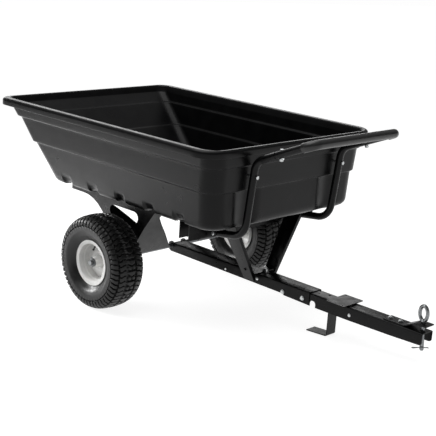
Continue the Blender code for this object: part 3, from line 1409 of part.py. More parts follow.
def handle():
    """Two bent legs with swaged spigots, and a U-shaped bar that slides over them."""
    for sign, side in ((1, "left"), (-1, "right")):
        y = sign * HANDLE_Y
        lead = SLEEVE_START - 0.002
        points = [(x, y, z) for x, z in (RUN_REAR, RUN_CORNER, LEG_TOP, (lead, arm_height(lead)))]
        leg = add(f"handle_leg_{side}", tube("handle_leg", path_of(points, (LEG_BEND, TOP_BEND), 4), HANDLE_RADIUS, 12, (0, 1, 0)), POWDER_BLACK, TUB_AXIS)
        ends = [(x, y, arm_height(x)) for x in (lead - 0.006, SPIGOT_END)]
        spigot = tube("spigot", ends, SPIGOT_RADIUS, 12, (0, 1, 0))
        carve(leg, cutter(f"spigot_{side}", spigot, TUB_AXIS), "UNION")
        ends = [(x, y, run_height(x)) for x in (RUN_REAR[0] - 0.01, RUN_REAR[0] + 0.040)]
        bore = tube("bore", ends, HANDLE_RADIUS - HANDLE_WALL, 12, (0, 1, 0))
        carve(leg, cutter(f"run_bore_{side}", bore, TUB_AXIS))
        drill(leg, "run", (RUN_BOLT_X, y, run_height(RUN_BOLT_X)), (0, 1, 0))
        drill(leg, "wall", (leg_front_x(), y, WALL_BOLT_Z), (1, 0, 0))
        drill(leg, "arm", (HANDLE_BOLT_X, y, arm_height(HANDLE_BOLT_X)), (0, 0, 1))
        handle_fasteners(y, side, sign)
    bow = add("handle_bar", tube("handle_bar", bar_route(SLEEVE_START), HANDLE_RADIUS, 12, arm_normal()), POWDER_BLACK, TUB_AXIS)
    for sign in (1, -1):
        y = sign * HANDLE_Y
        ends = [(x, y, arm_height(x)) for x in (SLEEVE_START - 0.01, SPIGOT_END + 0.003)]
        carve(bow, cutter(f"sleeve_bore_{sign}", tube("bore", ends, SPIGOT_RADIUS + GAP, 12, (0, 1, 0)), TUB_AXIS))
        drill(bow, f"sleeve_{sign}", (HANDLE_BOLT_X, y, arm_height(HANDLE_BOLT_X)), (0, 0, 1))
    grip = sleeve("handle_grip", bar_route(GRIP_END_X), GRIP_RADIUS, HANDLE_RADIUS + GAP, 12, arm_normal())
    add("handle_grip", grip, FOAM, TUB_AXIS)


def arm_normal():
    """The direction across the slanted plane in which the handle's bar is bent."""
    along = Vector((BAR_CENTRE[0] - ARM_JOINT[0], 0, BAR_CENTRE[1] - ARM_JOINT[1])).normalized()
    return (-along.z, 0, along.x)


def bar_route(start):
    """The bar's middle line from one arm round to the other, starting where the arms reach start."""
    side = [(start, arm_height(start)), BAR_CENTRE]
    route = [(x, -HANDLE_Y, z) for x, z in side] + [(x, HANDLE_Y, z) for x, z in reversed(side)]
    return path_of(route, (BAR_BEND, BAR_BEND), 4)


def leg_front_x():
    """The middle of the leg where the wall bolt goes through it."""
    t = (WALL_BOLT_Z - RUN_CORNER[1]) / (LEG_TOP[1] - RUN_CORNER[1])
    return RUN_CORNER[0] + t * (LEG_TOP[0] - RUN_CORNER[0])


def drill(owner, name, spot, direction):
    spot, direction = Vector(spot), Vector(direction)
    tool = tube("hole", (spot - direction * 0.03, spot + direction * 0.03), HOLE, 12)
    carve(owner, cutter(f"{name}_hole_{owner.name}", tool, TUB_AXIS))


def handle_fasteners(y, side, sign):
    """The bolts at the handle's rear end, through the tub's front wall and through the arm."""
    x = RUN_BOLT_X
    half = HANDLE_RADIUS + GAP + SHEET
    seat = (x, y - half, run_height(x))
    add(f"run_bolt_{side}", bolt_mesh("run_bolt", seat, (0, 1, 0), 2 * half, tail=0.006), ZINC, TUB_AXIS)
    front = leg_front_x() + HANDLE_RADIUS
    grip = front - (HIGH_FRONT - LEDGE - WALL) + 0.006
    lean = (LEG_TOP[0] - RUN_CORNER[0]) / (LEG_TOP[1] - RUN_CORNER[1])
    mesh = bolt_mesh("wall_bolt", (front, y, WALL_BOLT_Z), (-1, 0, 0), grip, tail=0.003, slope=(0, 0, lean))
    add(f"wall_bolt_{side}", mesh, ZINC, TUB_AXIS)
    x = HANDLE_BOLT_X
    rise = (BAR_CENTRE[1] - ARM_JOINT[1]) / (BAR_CENTRE[0] - ARM_JOINT[0])
    reach = HANDLE_RADIUS * math.hypot(1, rise)
    seat = (x, y, arm_height(x) + reach)
    mesh = bolt_mesh("handle_bolt", seat, (0, 0, -1), 2 * reach, tail=0.010, slope=(rise, 0, 0))
    add(f"handle_bolt_{side}", mesh, ZINC, TUB_AXIS)


def build():
    drawbar_rear()
    drawbar_front()
    stand()
    joint_bolts()
    hitch()
    latch_pedal()
    latch_hook()
    latch_rod()
    latch_spring()
    axle_and_ends()
    wheels()
    tub()
    floor_fasteners()
    cross_member()
    braces()
    latch_saddle()
    axle_brackets()
    handle()


build()
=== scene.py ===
"""The tow-behind garden cart as photographed: satin black moulded tub, powder-coated steel frame, turf
tyres on pale rims, zinc-plated fasteners, on a white studio floor.

Lengths are in metres. Shapes are first worked out in the cart's own frame: x runs forward along the
drawbar, y to the left and z square to both, from a point level with the drawbar and a little behind the
axle. Then to_row turns them nose down onto the ground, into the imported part's frame.
"""

import json
import math

import bmesh
import bpy
import numpy as np
from mathutils import Euler, Matrix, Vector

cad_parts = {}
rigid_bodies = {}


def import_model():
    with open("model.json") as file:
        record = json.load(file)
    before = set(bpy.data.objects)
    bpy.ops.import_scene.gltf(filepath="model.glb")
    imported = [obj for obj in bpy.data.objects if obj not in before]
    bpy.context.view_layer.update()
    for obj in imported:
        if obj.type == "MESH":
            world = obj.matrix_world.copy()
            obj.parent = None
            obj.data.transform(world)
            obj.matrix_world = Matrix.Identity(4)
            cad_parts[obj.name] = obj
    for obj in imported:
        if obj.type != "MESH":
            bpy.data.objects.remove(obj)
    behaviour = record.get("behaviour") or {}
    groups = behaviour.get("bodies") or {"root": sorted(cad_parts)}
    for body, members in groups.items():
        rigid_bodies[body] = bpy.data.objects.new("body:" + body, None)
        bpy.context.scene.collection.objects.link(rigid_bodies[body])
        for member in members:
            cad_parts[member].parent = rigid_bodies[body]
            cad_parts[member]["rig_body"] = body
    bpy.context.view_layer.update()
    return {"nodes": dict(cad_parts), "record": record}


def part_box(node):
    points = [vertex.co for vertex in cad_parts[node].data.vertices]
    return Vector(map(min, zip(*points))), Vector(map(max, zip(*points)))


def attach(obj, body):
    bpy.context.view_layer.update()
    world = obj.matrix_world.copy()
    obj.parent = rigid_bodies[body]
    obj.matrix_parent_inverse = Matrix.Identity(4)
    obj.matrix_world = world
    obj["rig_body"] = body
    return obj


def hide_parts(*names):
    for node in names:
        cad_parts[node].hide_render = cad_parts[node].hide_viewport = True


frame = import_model()
NODES = frame["nodes"]

MM = 0.001
GAP = 0.0003
SIDES = (("left", 1), ("right", -1))

# The axle, the wheels and the stand's foot, and the cart's pitch on its tyres and stand
TYRE_R = 0.1865
AXLE_X, AXLE_Z, WHEEL_Y = 0.0601, 0.0252, 0.408
STAND_X, STAND_DROP = 0.895, 0.110
STAND_AHEAD, STAND_BELOW = STAND_X - AXLE_X, STAND_DROP + AXLE_Z
PITCH = math.asin(TYRE_R / math.hypot(STAND_AHEAD, STAND_BELOW)) - math.atan2(STAND_BELOW, STAND_AHEAD)
COS_P, SIN_P = math.cos(PITCH), math.sin(PITCH)

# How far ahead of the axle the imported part's middle lies
MIDDLE_X = -sum(corner[0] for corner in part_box("tyre_left")) / 2


def to_row(points):
    """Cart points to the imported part's frame: a turn about the axle by the pitch, then a shift to mid-length
    and up by a tyre's radius."""
    x, y, z = np.moveaxis(np.asarray(points, float), -1, 0)
    x, z = x - AXLE_X, z - AXLE_Z
    return np.stack([x * COS_P + z * SIN_P - MIDDLE_X, y, -x * SIN_P + z * COS_P + TYRE_R], axis=-1)


# Materials

WHITE = (1, 1, 1, 1)
COLOUR_STOPS = (0.35, 0.65)
ROUGH_STOPS = (0.3, 0.7)
BLOTCH_DETAIL, GRAIN_DETAIL = 3.0, 2.0


def hex_colour(code):
    """An sRGB hex value as linear red, green and blue, with an alpha of 1."""
    parts = [int(code[i : i + 2], 16) / 255 for i in (1, 3, 5)]
    return (*[c / 12.92 if c <= 0.04045 else ((c + 0.055) / 1.055) ** 2.4 for c in parts], 1.0)


def add_node(tree, kind, settings=None, links=None):
    """A node of a kind. Settings go to its input of that name, or else to its property, and a link gives an
    input the output of another node, as (node, output)."""
    made = tree.nodes.new(kind)
    for key, value in (settings or {}).items():
        if isinstance(key, int) or key in made.inputs:
            made.inputs[key].default_value = value
        else:
            setattr(made, key, value)
    for key, (source, output) in (links or {}).items():
        tree.links.new(source.outputs[output], made.inputs[key])
    return made


def start_material(name, shader_settings):
    """A material whose shader is joined to its output, with its node tree and that shader."""
    material = bpy.data.materials.new(name)
    material.use_nodes = True
    tree = material.node_tree
    tree.nodes.clear()
    shader = add_node(tree, "ShaderNodeBsdfPrincipled", shader_settings)
    add_node(tree, "ShaderNodeOutputMaterial", links={"Surface": (shader, "BSDF")})
    return material, tree, shader


def surface(name, shader_settings, colours, blotch, rough, grain=None):
    """A material whose two colours drift into each other over a distance, and its roughness with them. Its
    grain, if it has one, is the spacing and the height of a bump."""
    material, tree, shader = start_material(name, shader_settings)
    place = add_node(tree, "ShaderNodeTexCoord")

    def noise(size, detail):
        scale = {"Scale": 1 / size, "Detail": detail}
        return add_node(tree, "ShaderNodeTexNoise", scale, {"Vector": (place, "Object")})

    drift = noise(blotch, BLOTCH_DETAIL)
    ramp = add_node(tree, "ShaderNodeValToRGB", links={"Fac": (drift, "Fac")})
    for stop, code, at in zip(ramp.color_ramp.elements, colours, COLOUR_STOPS):
        stop.color, stop.position = hex_colour(code), at
    tree.links.new(ramp.outputs["Color"], shader.inputs["Base Color"])
    ends = dict(zip(("From Min", "From Max", "To Min", "To Max"), ROUGH_STOPS + rough))
    spread = add_node(tree, "ShaderNodeMapRange", ends, {"Value": (drift, "Fac")})
    tree.links.new(spread.outputs["Result"], shader.inputs["Roughness"])
    if grain:
        spacing, height = grain
        links = {"Height": (noise(spacing, GRAIN_DETAIL), "Fac")}
        bump = add_node(tree, "ShaderNodeBump", {"Strength": 1.0, "Distance": height}, links)
        tree.links.new(bump.outputs["Normal"], shader.inputs["Normal"])
    return material


SATIN = {"IOR": 1.5, "Specular IOR Level": 0.17}
METAL = {"Metallic": 1.0}
DUSTY = {"IOR": 1.52, "Specular IOR Level": 0.3}
ENAMELLED = {"IOR": 1.5, "Coat Weight": 0.2, "Coat Roughness": 0.25}

# Rotational-moulded polyethylene: satin, slightly wavy from the mould, so reflections of the floor are soft
MOULDED = ("#060607", "#0b0b0c")
TUB_BLACK = surface("moulded_polyethylene", SATIN, MOULDED, 60 * MM, (0.27, 0.36), (5 * MM, 0.10 * MM))

# Powder coat on pressed steel: satin black with an orange-peel skin
COATED = ("#060607", "#0c0c0d")
COAT = surface("powder_coat_black", SATIN, COATED, 25 * MM, (0.26, 0.38), (1.6 * MM, 0.05 * MM))

# Bright zinc plate: a pale grey metal with a faint spangle
SPANGLED = ("#b4b7b8", "#d4d6d6")
ZINC = surface("zinc_plate", METAL, SPANGLED, 4 * MM, (0.22, 0.38), (0.8 * MM, 0.02 * MM))

# Drawn steel of the spring, the clip and the drop pin: darker than zinc and smoother
WIRE = surface("steel_wire", METAL, ("#66686a", "#888a8b"), 6 * MM, (0.15, 0.25))

# Drawn bar steel, oiled and dull, for the axle and what holds the wheels on it
DULL = ("#6f7172", "#86888a")
BAR = surface("bar_steel", METAL, DULL, 5 * MM, (0.4, 0.55), (1.0 * MM, 0.02 * MM))

# Vulcanised tyre rubber: black with a dusty bloom
VULCANISED = ("#0b0b0b", "#131313")
RUBBER = surface("tyre_rubber", DUSTY, VULCANISED, 18 * MM, (0.30, 0.44), (1.5 * MM, 0.06 * MM))

# Stove-enamelled steel rim: pale warm grey, low gloss
PALE = ("#dcdcda", "#e6e5e3")
ENAMEL = surface("rim_enamel", ENAMELLED, PALE, 30 * MM, (0.35, 0.45), (2.0 * MM, 0.03 * MM))

# Turned nylon: dark grey and waxy
NYLON = surface("nylon", {"IOR": 1.53}, ("#3a3a3b", "#464646"), 8 * MM, (0.4, 0.5))

# Dipped vinyl sleeve on the handle's bar: smooth black, glossier than the coat below it
DIPPED = ("#0c0c0c", "#121212")
VINYL = surface("vinyl_sleeve", {"IOR": 1.5}, DIPPED, 20 * MM, (0.28, 0.36), (2.5 * MM, 0.04 * MM))

SLOTS = {
    TUB_BLACK: "tub_plastic",
    COAT: "black_steel",
    ZINC: "zinc",
    WIRE: "spring_steel",
    RUBBER: "tyre",
    ENAMEL: "rim_paint",
    NYLON: "nylon",
    VINYL: "grip_foam",
}


# Curves and sections

def eased(value):
    """A smooth step from 0 to 1."""
    value = np.clip(value, 0, 1)
    return value * value * (3 - 2 * value)


def unit(vectors):
    """Vectors cut or stretched to a length of 1."""
    return vectors / np.linalg.norm(vectors, axis=-1, keepdims=True)


def run_length(points):
    """The length of a line of points from its start to each of them."""
    return np.concatenate([[0], np.cumsum(np.linalg.norm(np.diff(points, axis=0), axis=1))])


def section_normals(section):
    """The normal at each point of a flat section, to the right of its run."""
    along = unit(np.gradient(section, axis=0))
    return np.stack([along[:, 1], -along[:, 0]], axis=1)


def bent_route(points, radii, steps):
    """A route through points: straight runs joined by arcs that touch both runs."""
    points = [np.array(p, float) for p in points]
    route = [points[0]]
    for before, here, after, radius in zip(points, points[1:], points[2:], radii):
        u, v = unit(before - here), unit(after - here)
        half = math.acos(np.clip(u @ v, -1, 1)) / 2
        centre = here + unit(u + v) * radius / math.sin(half)
        reach = radius / math.tan(half)
        start, end = here + u * reach - centre, here + v * reach - centre
        sweep = math.pi - 2 * half
        t = np.linspace(0, 1, steps + 1)[:, None]
        route += list(centre + (np.sin((1 - t) * sweep) * start + np.sin(t * sweep) * end) / math.sin(sweep))
    return np.array(route + [points[-1]])


def smooth_curve(keys, count):
    """A smooth curve through key points (Catmull-Rom), sampled evenly by length."""
    keys = np.asarray(keys, float)
    padded = np.vstack([2 * keys[0] - keys[1], keys, 2 * keys[-1] - keys[-2]])
    t = np.linspace(0, 1, 24, endpoint=False)[:, None]
    a, b, c, d = (padded[i : len(padded) - 3 + i][:, None] for i in range(4))
    spans = 0.5 * (2 * b + (c - a) * t + (2 * a - 5 * b + 4 * c - d) * t**2 + (3 * b - a - 3 * c + d) * t**3)
    dense = np.vstack([spans.reshape(-1, 2), keys[-1:]])
    length = run_length(dense)
    at = np.linspace(0, length[-1], count)
    return np.stack([np.interp(at, length, dense[:, i]) for i in range(2)], axis=1)


def swept(route, radius, across, sides=32):
    """A round bar: at each point of the route a circle in the plane across it, started from a direction."""
    route = np.asarray(route, float)
    along = unit(np.gradient(route, axis=0))
    across = np.broadcast_to(np.asarray(across, float), along.shape)
    first = unit(across - along * (across * along).sum(axis=1, keepdims=True))
    second = np.cross(along, first)
    angle = np.linspace(0, 2 * np.pi, sides, endpoint=False)[None, :, None]
    return route[:, None] + radius * (np.cos(angle) * first[:, None] + np.sin(angle) * second[:, None])


def turned(profile, centre, axis, sides):
    """A profile turned about an axis. Its rows hold the distance along the axis and the radius. A third value
    over 0 is half a hexagon's width across flats: the row follows the hexagon, cut back to its own circle as
    a chamfer does."""
    profile = np.asarray(profile, float)
    axis = unit(np.asarray(axis, float))
    first = unit(np.cross(axis, [0, 0, 1] if abs(axis[2]) < 0.9 else [1, 0, 0]))
    second = np.cross(axis, first)
    angle = np.linspace(0, 2 * np.pi, sides, endpoint=False)[None, :]
    radius = np.repeat(profile[:, 1:2], sides, axis=1)
    if profile.shape[1] > 2:
        marks = profile[:, 2:]
        flat = marks / np.cos((angle + np.pi / 6) % (np.pi / 3) - np.pi / 6)
        radius = np.where(marks > 0, np.minimum(radius, flat), radius)
    return (
        np.asarray(centre, float)
        + profile[:, :1, None] * axis
        + radius[..., None] * (np.cos(angle)[..., None] * first + np.sin(angle)[..., None] * second)
    )


# Meshes

MERGE = 1e-6


def grid_faces(rows, columns, wrap_rows, wrap_columns):
    """The four corners of each cell of a grid whose points are numbered row by row."""
    i = np.arange(rows if wrap_rows else rows - 1)[:, None]
    j = np.arange(columns if wrap_columns else columns - 1)[None, :]
    k, m = (i + 1) % rows, (j + 1) % columns
    cells = np.stack([i * columns + j, i * columns + m, k * columns + m, k * columns + j], axis=-1)
    return cells.reshape(-1, 4)


def show(name, mesh, material, body, node, sharp):
    """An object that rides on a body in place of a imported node, smooth but for edges over a sharp angle."""
    mesh.materials.append(material)
    mesh.shade_smooth()
    mesh.set_sharp_from_angle(angle=math.radians(sharp))
    made = bpy.data.objects.new(name, mesh)
    bpy.context.scene.collection.objects.link(made)
    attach(made, body)
    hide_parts(node)
    return made


def piece(name, patches, material, body, node, sharp):
    """One object from patches of (grid of points, wrap rows, wrap columns, cap ends). Points that meet are
    merged, and the faces are turned to point outwards."""
    points, corners, totals, count = [], [], [], 0
    for grid, wrap_rows, wrap_columns, caps in patches:
        rows, columns = grid.shape[:2]
        points.append(grid.reshape(-1, 3))
        quads = grid_faces(rows, columns, wrap_rows, wrap_columns) + count
        corners.append(quads.reshape(-1))
        totals.append(np.full(len(quads), 4))
        if caps:
            ring = np.arange(columns) + count
            corners += [ring[::-1], ring + (rows - 1) * columns]
            totals.append(np.array([columns, columns]))
        count += rows * columns
    points, corners, totals = np.concatenate(points), np.concatenate(corners), np.concatenate(totals)
    mesh = bpy.data.meshes.new(name)
    mesh.vertices.add(len(points))
    mesh.vertices.foreach_set("co", points.astype(np.float32).reshape(-1))
    mesh.loops.add(len(corners))
    mesh.loops.foreach_set("vertex_index", corners.astype(np.int32))
    mesh.polygons.add(len(totals))
    mesh.polygons.foreach_set("loop_start", np.concatenate([[0], np.cumsum(totals)[:-1]]).astype(np.int32))
    mesh.polygons.foreach_set("loop_total", totals.astype(np.int32))
    mesh.update(calc_edges=True)
    shape = bmesh.new()
    shape.from_mesh(mesh)
    bmesh.ops.remove_doubles(shape, verts=shape.verts, dist=MERGE)
    bmesh.ops.recalc_face_normals(shape, faces=shape.faces)
    shape.to_mesh(mesh)
    shape.free()
    return show(name, mesh, material, body, node, sharp)


# The tub

FLOOR_Z, WALL = 0.272, 0.005
NECK_HALF, LIP_WIDTH = 0.4315, 0.035
FRONT_CORNER, FRONT_SPREAD = 0.066, 0.020
REAR_CORNER, REAR_SPREAD = 0.042, 0.012
CORNER_INSIDE = 0.004
FLUTES = -0.185 + 0.163 * np.arange(5)
FLUTE_HALF, FLUTE_DEPTH, FLUTE_TOP, FLUTE_FADE = 0.028, 0.0115, 0.314, 0.022
SCOOP_Y, SCOOP_HALF, SCOOP_DEPTH = 0.229, 0.077, 0.014
SCOOP_TOP, SCOOP_FADE, SCOOP_RISE, SCOOP_FOOT = 0.4165, 0.006, 0.03, 0.25
END_POINTS, CORNER_POINTS, SIDE_POINTS = 97, 11, 241


def flute_at(x):
    """How far a transverse flute presses in at x, from 0 to 1: a half ellipse across each flute."""
    apart = np.abs(x[..., None] - FLUTES).min(axis=-1) / FLUTE_HALF
    return np.sqrt(np.clip(1 - apart**2, 0, 1))


def scoop_at(y):
    """How far a front scoop presses in at y, from 0 to 1: one swell of a cosine on each side."""
    apart = np.abs(np.abs(y) - SCOOP_Y) / SCOOP_HALF
    return np.where(apart < 1, 0.5 * (1 + np.cos(np.pi * np.minimum(apart, 1))), 0)


def rounded_section(keys, radii, parts):
    """A section through key points with arcs at the corners, each of its runs cut into that many parts."""
    route = bent_route([(*key, 0) for key in keys], radii, steps=4)[:, :2]
    out = [route[:1]]
    for a, b, count in zip(route, route[1:], parts):
        t = np.linspace(0, 1, count + 1)[1:, None]
        out.append(a + (b - a) * t)
    return np.concatenate(out)


def tub_sections():
    """The side, rear and front sections, from the outer floor up over the lip and down to the inner floor."""
    levels = (
        # side half width, rear x, front x, height
        (0.335, -0.231, 0.575, FLOOR_Z),
        (0.3958, -0.2855, 0.6365, FLOOR_Z),
        (0.4054, -0.415, 0.639, 0.4135),
        (0.4154, -0.426, 0.646, 0.417),
        (0.4186, -0.506, 0.653, 0.506),
        (0.4286, -0.518, 0.660, 0.509),
        (0.4315, -0.5575, 0.662, 0.5485),
        (0.4320, -0.5585, 0.6622, 0.573),
        (0.4615, -0.5745, 0.669, 0.573),
        (0.4620, -0.575, 0.6695, 0.549),
        (0.4665, -0.5795, 0.674, 0.549),
        (0.4665, -0.5795, 0.674, 0.578),
        (0.4335, -0.5595, 0.663, 0.578),
        (0.4265, -0.5525, 0.657, 0.549),
        (0.4236, -0.513, 0.655, 0.512),
        (0.4136, -0.501, 0.648, 0.508),
        (0.4104, -0.421, 0.641, 0.420),
        (0.4004, -0.41, 0.634, 0.416),
        (0.3908, -0.2805, 0.6315, FLOOR_Z + WALL),
        (0.335, -0.231, 0.575, FLOOR_Z + WALL),
    )
    radii = (0.028, 0.003, 0.004, 0.003, 0.004, 0.002, 0.001, 0.007, 0.001)
    radii += (0.0015, 0.012, 0.007, 0.002, 0.004, 0.003, 0.004, 0.003, 0.023)
    parts = []
    for run in (3, 14, 1, 8, 1, 4, 1, 1, 1, 1, 1, 1, 3, 4, 1, 8, 1, 14, 3):
        parts += [run, 1, 1, 1, 1]
    return [rounded_section([(level[i], level[3]) for level in levels], radii, parts) for i in range(3)]


def tub_loops(side, rear, front):
    """At each level a closed loop in four parts: the front edge, the left side with its corners, the rear
    edge and the right side. A corner is a quarter of an ellipse between two sides, and its height passes
    from one side's section to the other's."""
    lip = np.clip((side[:, 0] - NECK_HALF) / LIP_WIDTH, 0, 1)
    inside = np.arange(len(side)) > np.argmax(side[:, 1]) + 2
    front_corner = (FRONT_CORNER + FRONT_SPREAD * lip - CORNER_INSIDE * inside)[:, None]
    rear_corner = (REAR_CORNER + REAR_SPREAD * lip - CORNER_INSIDE * inside)[:, None]
    h, r, f = side[:, :1], rear[:, :1], front[:, :1]
    zh, zr, zf = side[:, 1:], rear[:, 1:], front[:, 1:]
    turn = np.linspace(0, np.pi / 2, CORNER_POINTS)[None, 1:-1]
    cos, sin = np.cos(turn), np.sin(turn)

    def corner(x, radius, z):
        """A corner from the front edge at x, or with a negative radius from the rear edge."""
        across = h - abs(radius) * (1 - sin)
        return np.stack([x - radius * (1 - cos), across, z * cos**2 + zh * sin**2], axis=-1)

    t = np.linspace(-1, 1, END_POINTS)[None, :]
    front_y = (h - front_corner) * t
    low = eased((SCOOP_TOP - zf) / SCOOP_FADE)
    low = low * (SCOOP_FOOT + (1 - SCOOP_FOOT) * eased((zf - FLOOR_Z) / SCOOP_RISE))
    front_x = f - SCOOP_DEPTH * scoop_at(front_y) * low
    front_edge = np.stack([front_x + 0 * t, front_y, zf + 0 * t], axis=-1)
    s = np.linspace(0, 1, SIDE_POINTS)[None, :]
    side_x = (f - front_corner) * (1 - s) + (r + rear_corner) * s
    left_side = np.stack([side_x, h + 0 * s, zh + 0 * s], axis=-1)
    rear_edge = np.stack([r + 0 * t, (h - rear_corner) * -t, zr + 0 * t], axis=-1)
    corners = corner(f, front_corner, zf), corner(r, -rear_corner, zr)[:, ::-1]
    left = np.concatenate([corners[0], left_side, corners[1]], axis=1)
    right = left[:, ::-1] * [1, -1, 1]
    return front_edge, left, rear_edge, right


def press_flutes(grid, section):
    """Presses the flutes into a side's grid, each level along the section's own outward direction."""
    outer = np.argmax(section[:, 1]) + 2
    normal = section_normals(section)
    normal[outer:] *= -1
    weight = eased((FLUTE_TOP - section[:, 1]) / FLUTE_FADE)
    push = FLUTE_DEPTH * flute_at(grid[..., 0]) * weight[:, None]
    side = np.sign(grid[..., 1])
    grid[..., 1] -= push * normal[:, :1] * side
    grid[..., 2] -= push * normal[:, 1:]
    return grid


def tub_floor(left, right, flat_z):
    """A floor ruled straight across between the loop's two halves, with the flutes standing in it."""
    share = (np.linspace(-1, 1, END_POINTS)[None, :, None] + 1) / 2
    floor = right[:, None] * (1 - share) + left[:, None] * share
    floor[..., 2] = flat_z + FLUTE_DEPTH * flute_at(floor[..., 0])
    return floor


def build_tub():
    side, rear, front = tub_sections()
    front_edge, left, rear_edge, right = tub_loops(side, rear, front)
    left, right = press_flutes(left, side), press_flutes(right, side)
    loops = np.concatenate([front_edge, left, rear_edge, right], axis=1)
    patches = [(to_row(loops), False, True, False)]
    for level, z in ((0, FLOOR_Z), (-1, FLOOR_Z + WALL)):
        half_left = np.concatenate([front_edge[level, -1:], left[level], rear_edge[level, :1]])
        half_right = np.concatenate([front_edge[level, :1], right[level][::-1], rear_edge[level, -1:]])
        floor = tub_floor(half_left, half_right, z)
        floor[0], floor[-1] = front_edge[level], rear_edge[level][::-1]
        floor[:, -1], floor[:, 0] = half_left, half_right
        patches.append((to_row(floor), False, False, False))
    piece("tub_moulding", patches, TUB_BLACK, "tub_unit", "tub", sharp=50)


# Wheels. A profile's first value is the distance out from the wheel's middle, its second the radius

WHEEL_SCALE = 0.9817
TREAD_REPEATS, TREAD_STEPS, TREAD_DEPTH = 27, 30, 0.0078
TREAD_HALF, TREAD_FADE = 0.0970, 0.0035
FINE_BAND, FINE_POINTS, BEAD_POINTS, CURVE_POINTS = 0.100, 42, 14, 400
RIM_SIDES, VALVE_SIDES = 112, 24

# Bars: inner and outer distance from the tread's middle, sway along the tyre and gap
SHOULDER_BARS = (0.0585, 0.0940, 0.0018, 0.0052)
INNER_BARS = (0.0250, 0.0560, -0.0034, 0.0034)
INNER_PHASE = 0.45
HEART_ACROSS, HEART_ALONG, HEART_SLANT, HEART_SHIFT = 0.0200, 0.0105, 0.30, 0.0030
OVAL_OUT, OVAL_ACROSS, OVAL_ALONG, OVAL_DEPTH = 0.0102, 0.0083, 0.0092, 0.0085

# The width of a block's flank, and the share of its height that it has at its edge
BAR_FLANK, BAR_FOOT = 0.0016, 0.35
CHAIN_FLANK, CHAIN_FOOT = 0.0030, 0.25

# Ribs round the sidewall's top edge and rings lower down, by their distance from the tread's middle
RIB_HEIGHT, RIB_START, RIB_RISE, RIB_END, RIB_FALL = 0.0007, 0.0955, 0.002, 0.104, 0.004
RING_HEIGHT, RING_FALL, RINGS = 0.0009, 0.001, ((0.1165, 0.0022), (0.1290, 0.0016))

TYRE_KEYS = (
    (0.0452, 0.0768), (0.0492, 0.0840), (0.0512, 0.0925), (0.0545, 0.0985), (0.0665, 0.1120),
    (0.0735, 0.1290), (0.0757, 0.1450), (0.0748, 0.1590), (0.0700, 0.1715), (0.0600, 0.1800),
    (0.0440, 0.1858), (0.0230, 0.1888), (0.0, 0.1897),
)
TYRE_INSIDE = [(0.034, 0.0768), (0.050, 0.115), (0.060, 0.145), (0.043, 0.170)]
TYRE_CROWN = (0.0, 0.174)

RIM_LIP, HUB_RADIUS = 0.092, 0.03
RIM_FLANGE = [(0.0545, RIM_LIP - 0.0010), (0.0535, RIM_LIP), (0.0522, RIM_LIP - 0.0022)]
RIM_FLANGE += [(0.0505, 0.0835), (0.0490, 0.0785)]
RIM_WELL = [(0.0455, 0.0762), (0.030, 0.0762), (0.026, 0.0735)]
RIM_UNDER = [(0.0535, 0.086), (0.0515, 0.0775), (0.0460, 0.0737), (0.031, 0.0737), (0.027, 0.0708)]
DISC_BACK = [
    (0.002, 0.0708), (0.000, 0.066), (0.0035, 0.060), (0.0090, 0.050), (0.0100, 0.040), (0.0085, 0.030),
    (0.0040, 0.0235), (-0.0480, 0.0195), (-0.0500, 0.0180), (-0.0500, 0.0131),
]
HUB_OUT = (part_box("wheel_bush_left")[1][1] - WHEEL_Y - 0.002) / WHEEL_SCALE
DISC_FACE = [
    (HUB_OUT, 0.0131), (HUB_OUT, 0.0175), (HUB_OUT - 0.0015, 0.0190), (0.0085, 0.0245), (0.0115, 0.0290),
    (0.0130, 0.0400), (0.0120, 0.0505), (0.0065, 0.0610), (0.0035, 0.0665), (0.0050, 0.0700),
    (0.0090, 0.0708),
]

VALVE_ANGLE, VALVE_SEAT, VALVE_OUT, VALVE_START = 1.5, 0.0767, 0.0247, 0.004
VALVE_IN, VALVE_ASIDE = 0.8, 0.6
VALVE_STEM = [
    (0, 0.0001), (0, 0.0050), (0.004, 0.0052), (0.007, 0.0044), (0.010, 0.0034), (0.020, 0.0032),
    (0.0202, 0.0042),
]
VALVE_TIP = [(0.0285, 0.0036), (0.0285, 0.0001)]


def mirrored(profile):
    """A profile's other half, run from its far end back."""
    return [(-s, r) for s, r in profile[::-1]]


def wavy_bars(turns, across, phase, inner, outer, sway, gap):
    """Bars across the tread between two distances from its middle, two to each repeat, with an S-shaped gap
    between them. The distance into a bar from its nearest edge, negative in a gap."""
    pitch = math.pi * TYRE_R / TREAD_REPEATS
    along = (across - inner) / (outer - inner)
    shift = phase + sway * np.sin(2 * np.pi * along) / pitch
    cell = np.abs((turns * 2 * TREAD_REPEATS + shift) % 1 - 0.5) * pitch
    return np.minimum(pitch / 2 - gap / 2 - cell, np.minimum(across - inner, outer - across))


def chain_blocks(turns, across):
    """The chain down the tread's middle: a heart, then a pair of ovals. The distance into a block."""
    repeat = 2 * math.pi * TYRE_R / TREAD_REPEATS
    along = ((turns * TREAD_REPEATS) % 1 - 0.5) * repeat
    lobes = (along - HEART_SLANT * np.abs(across) + HEART_SHIFT) / HEART_ALONG
    heart = np.hypot(across / HEART_ACROSS, lobes)
    beyond = repeat / 2 - np.abs(along)
    oval = np.hypot((np.abs(across) - OVAL_OUT) / OVAL_ACROSS, beyond / OVAL_ALONG)
    return np.maximum((1 - heart) * HEART_ALONG, (1 - oval) * OVAL_DEPTH)


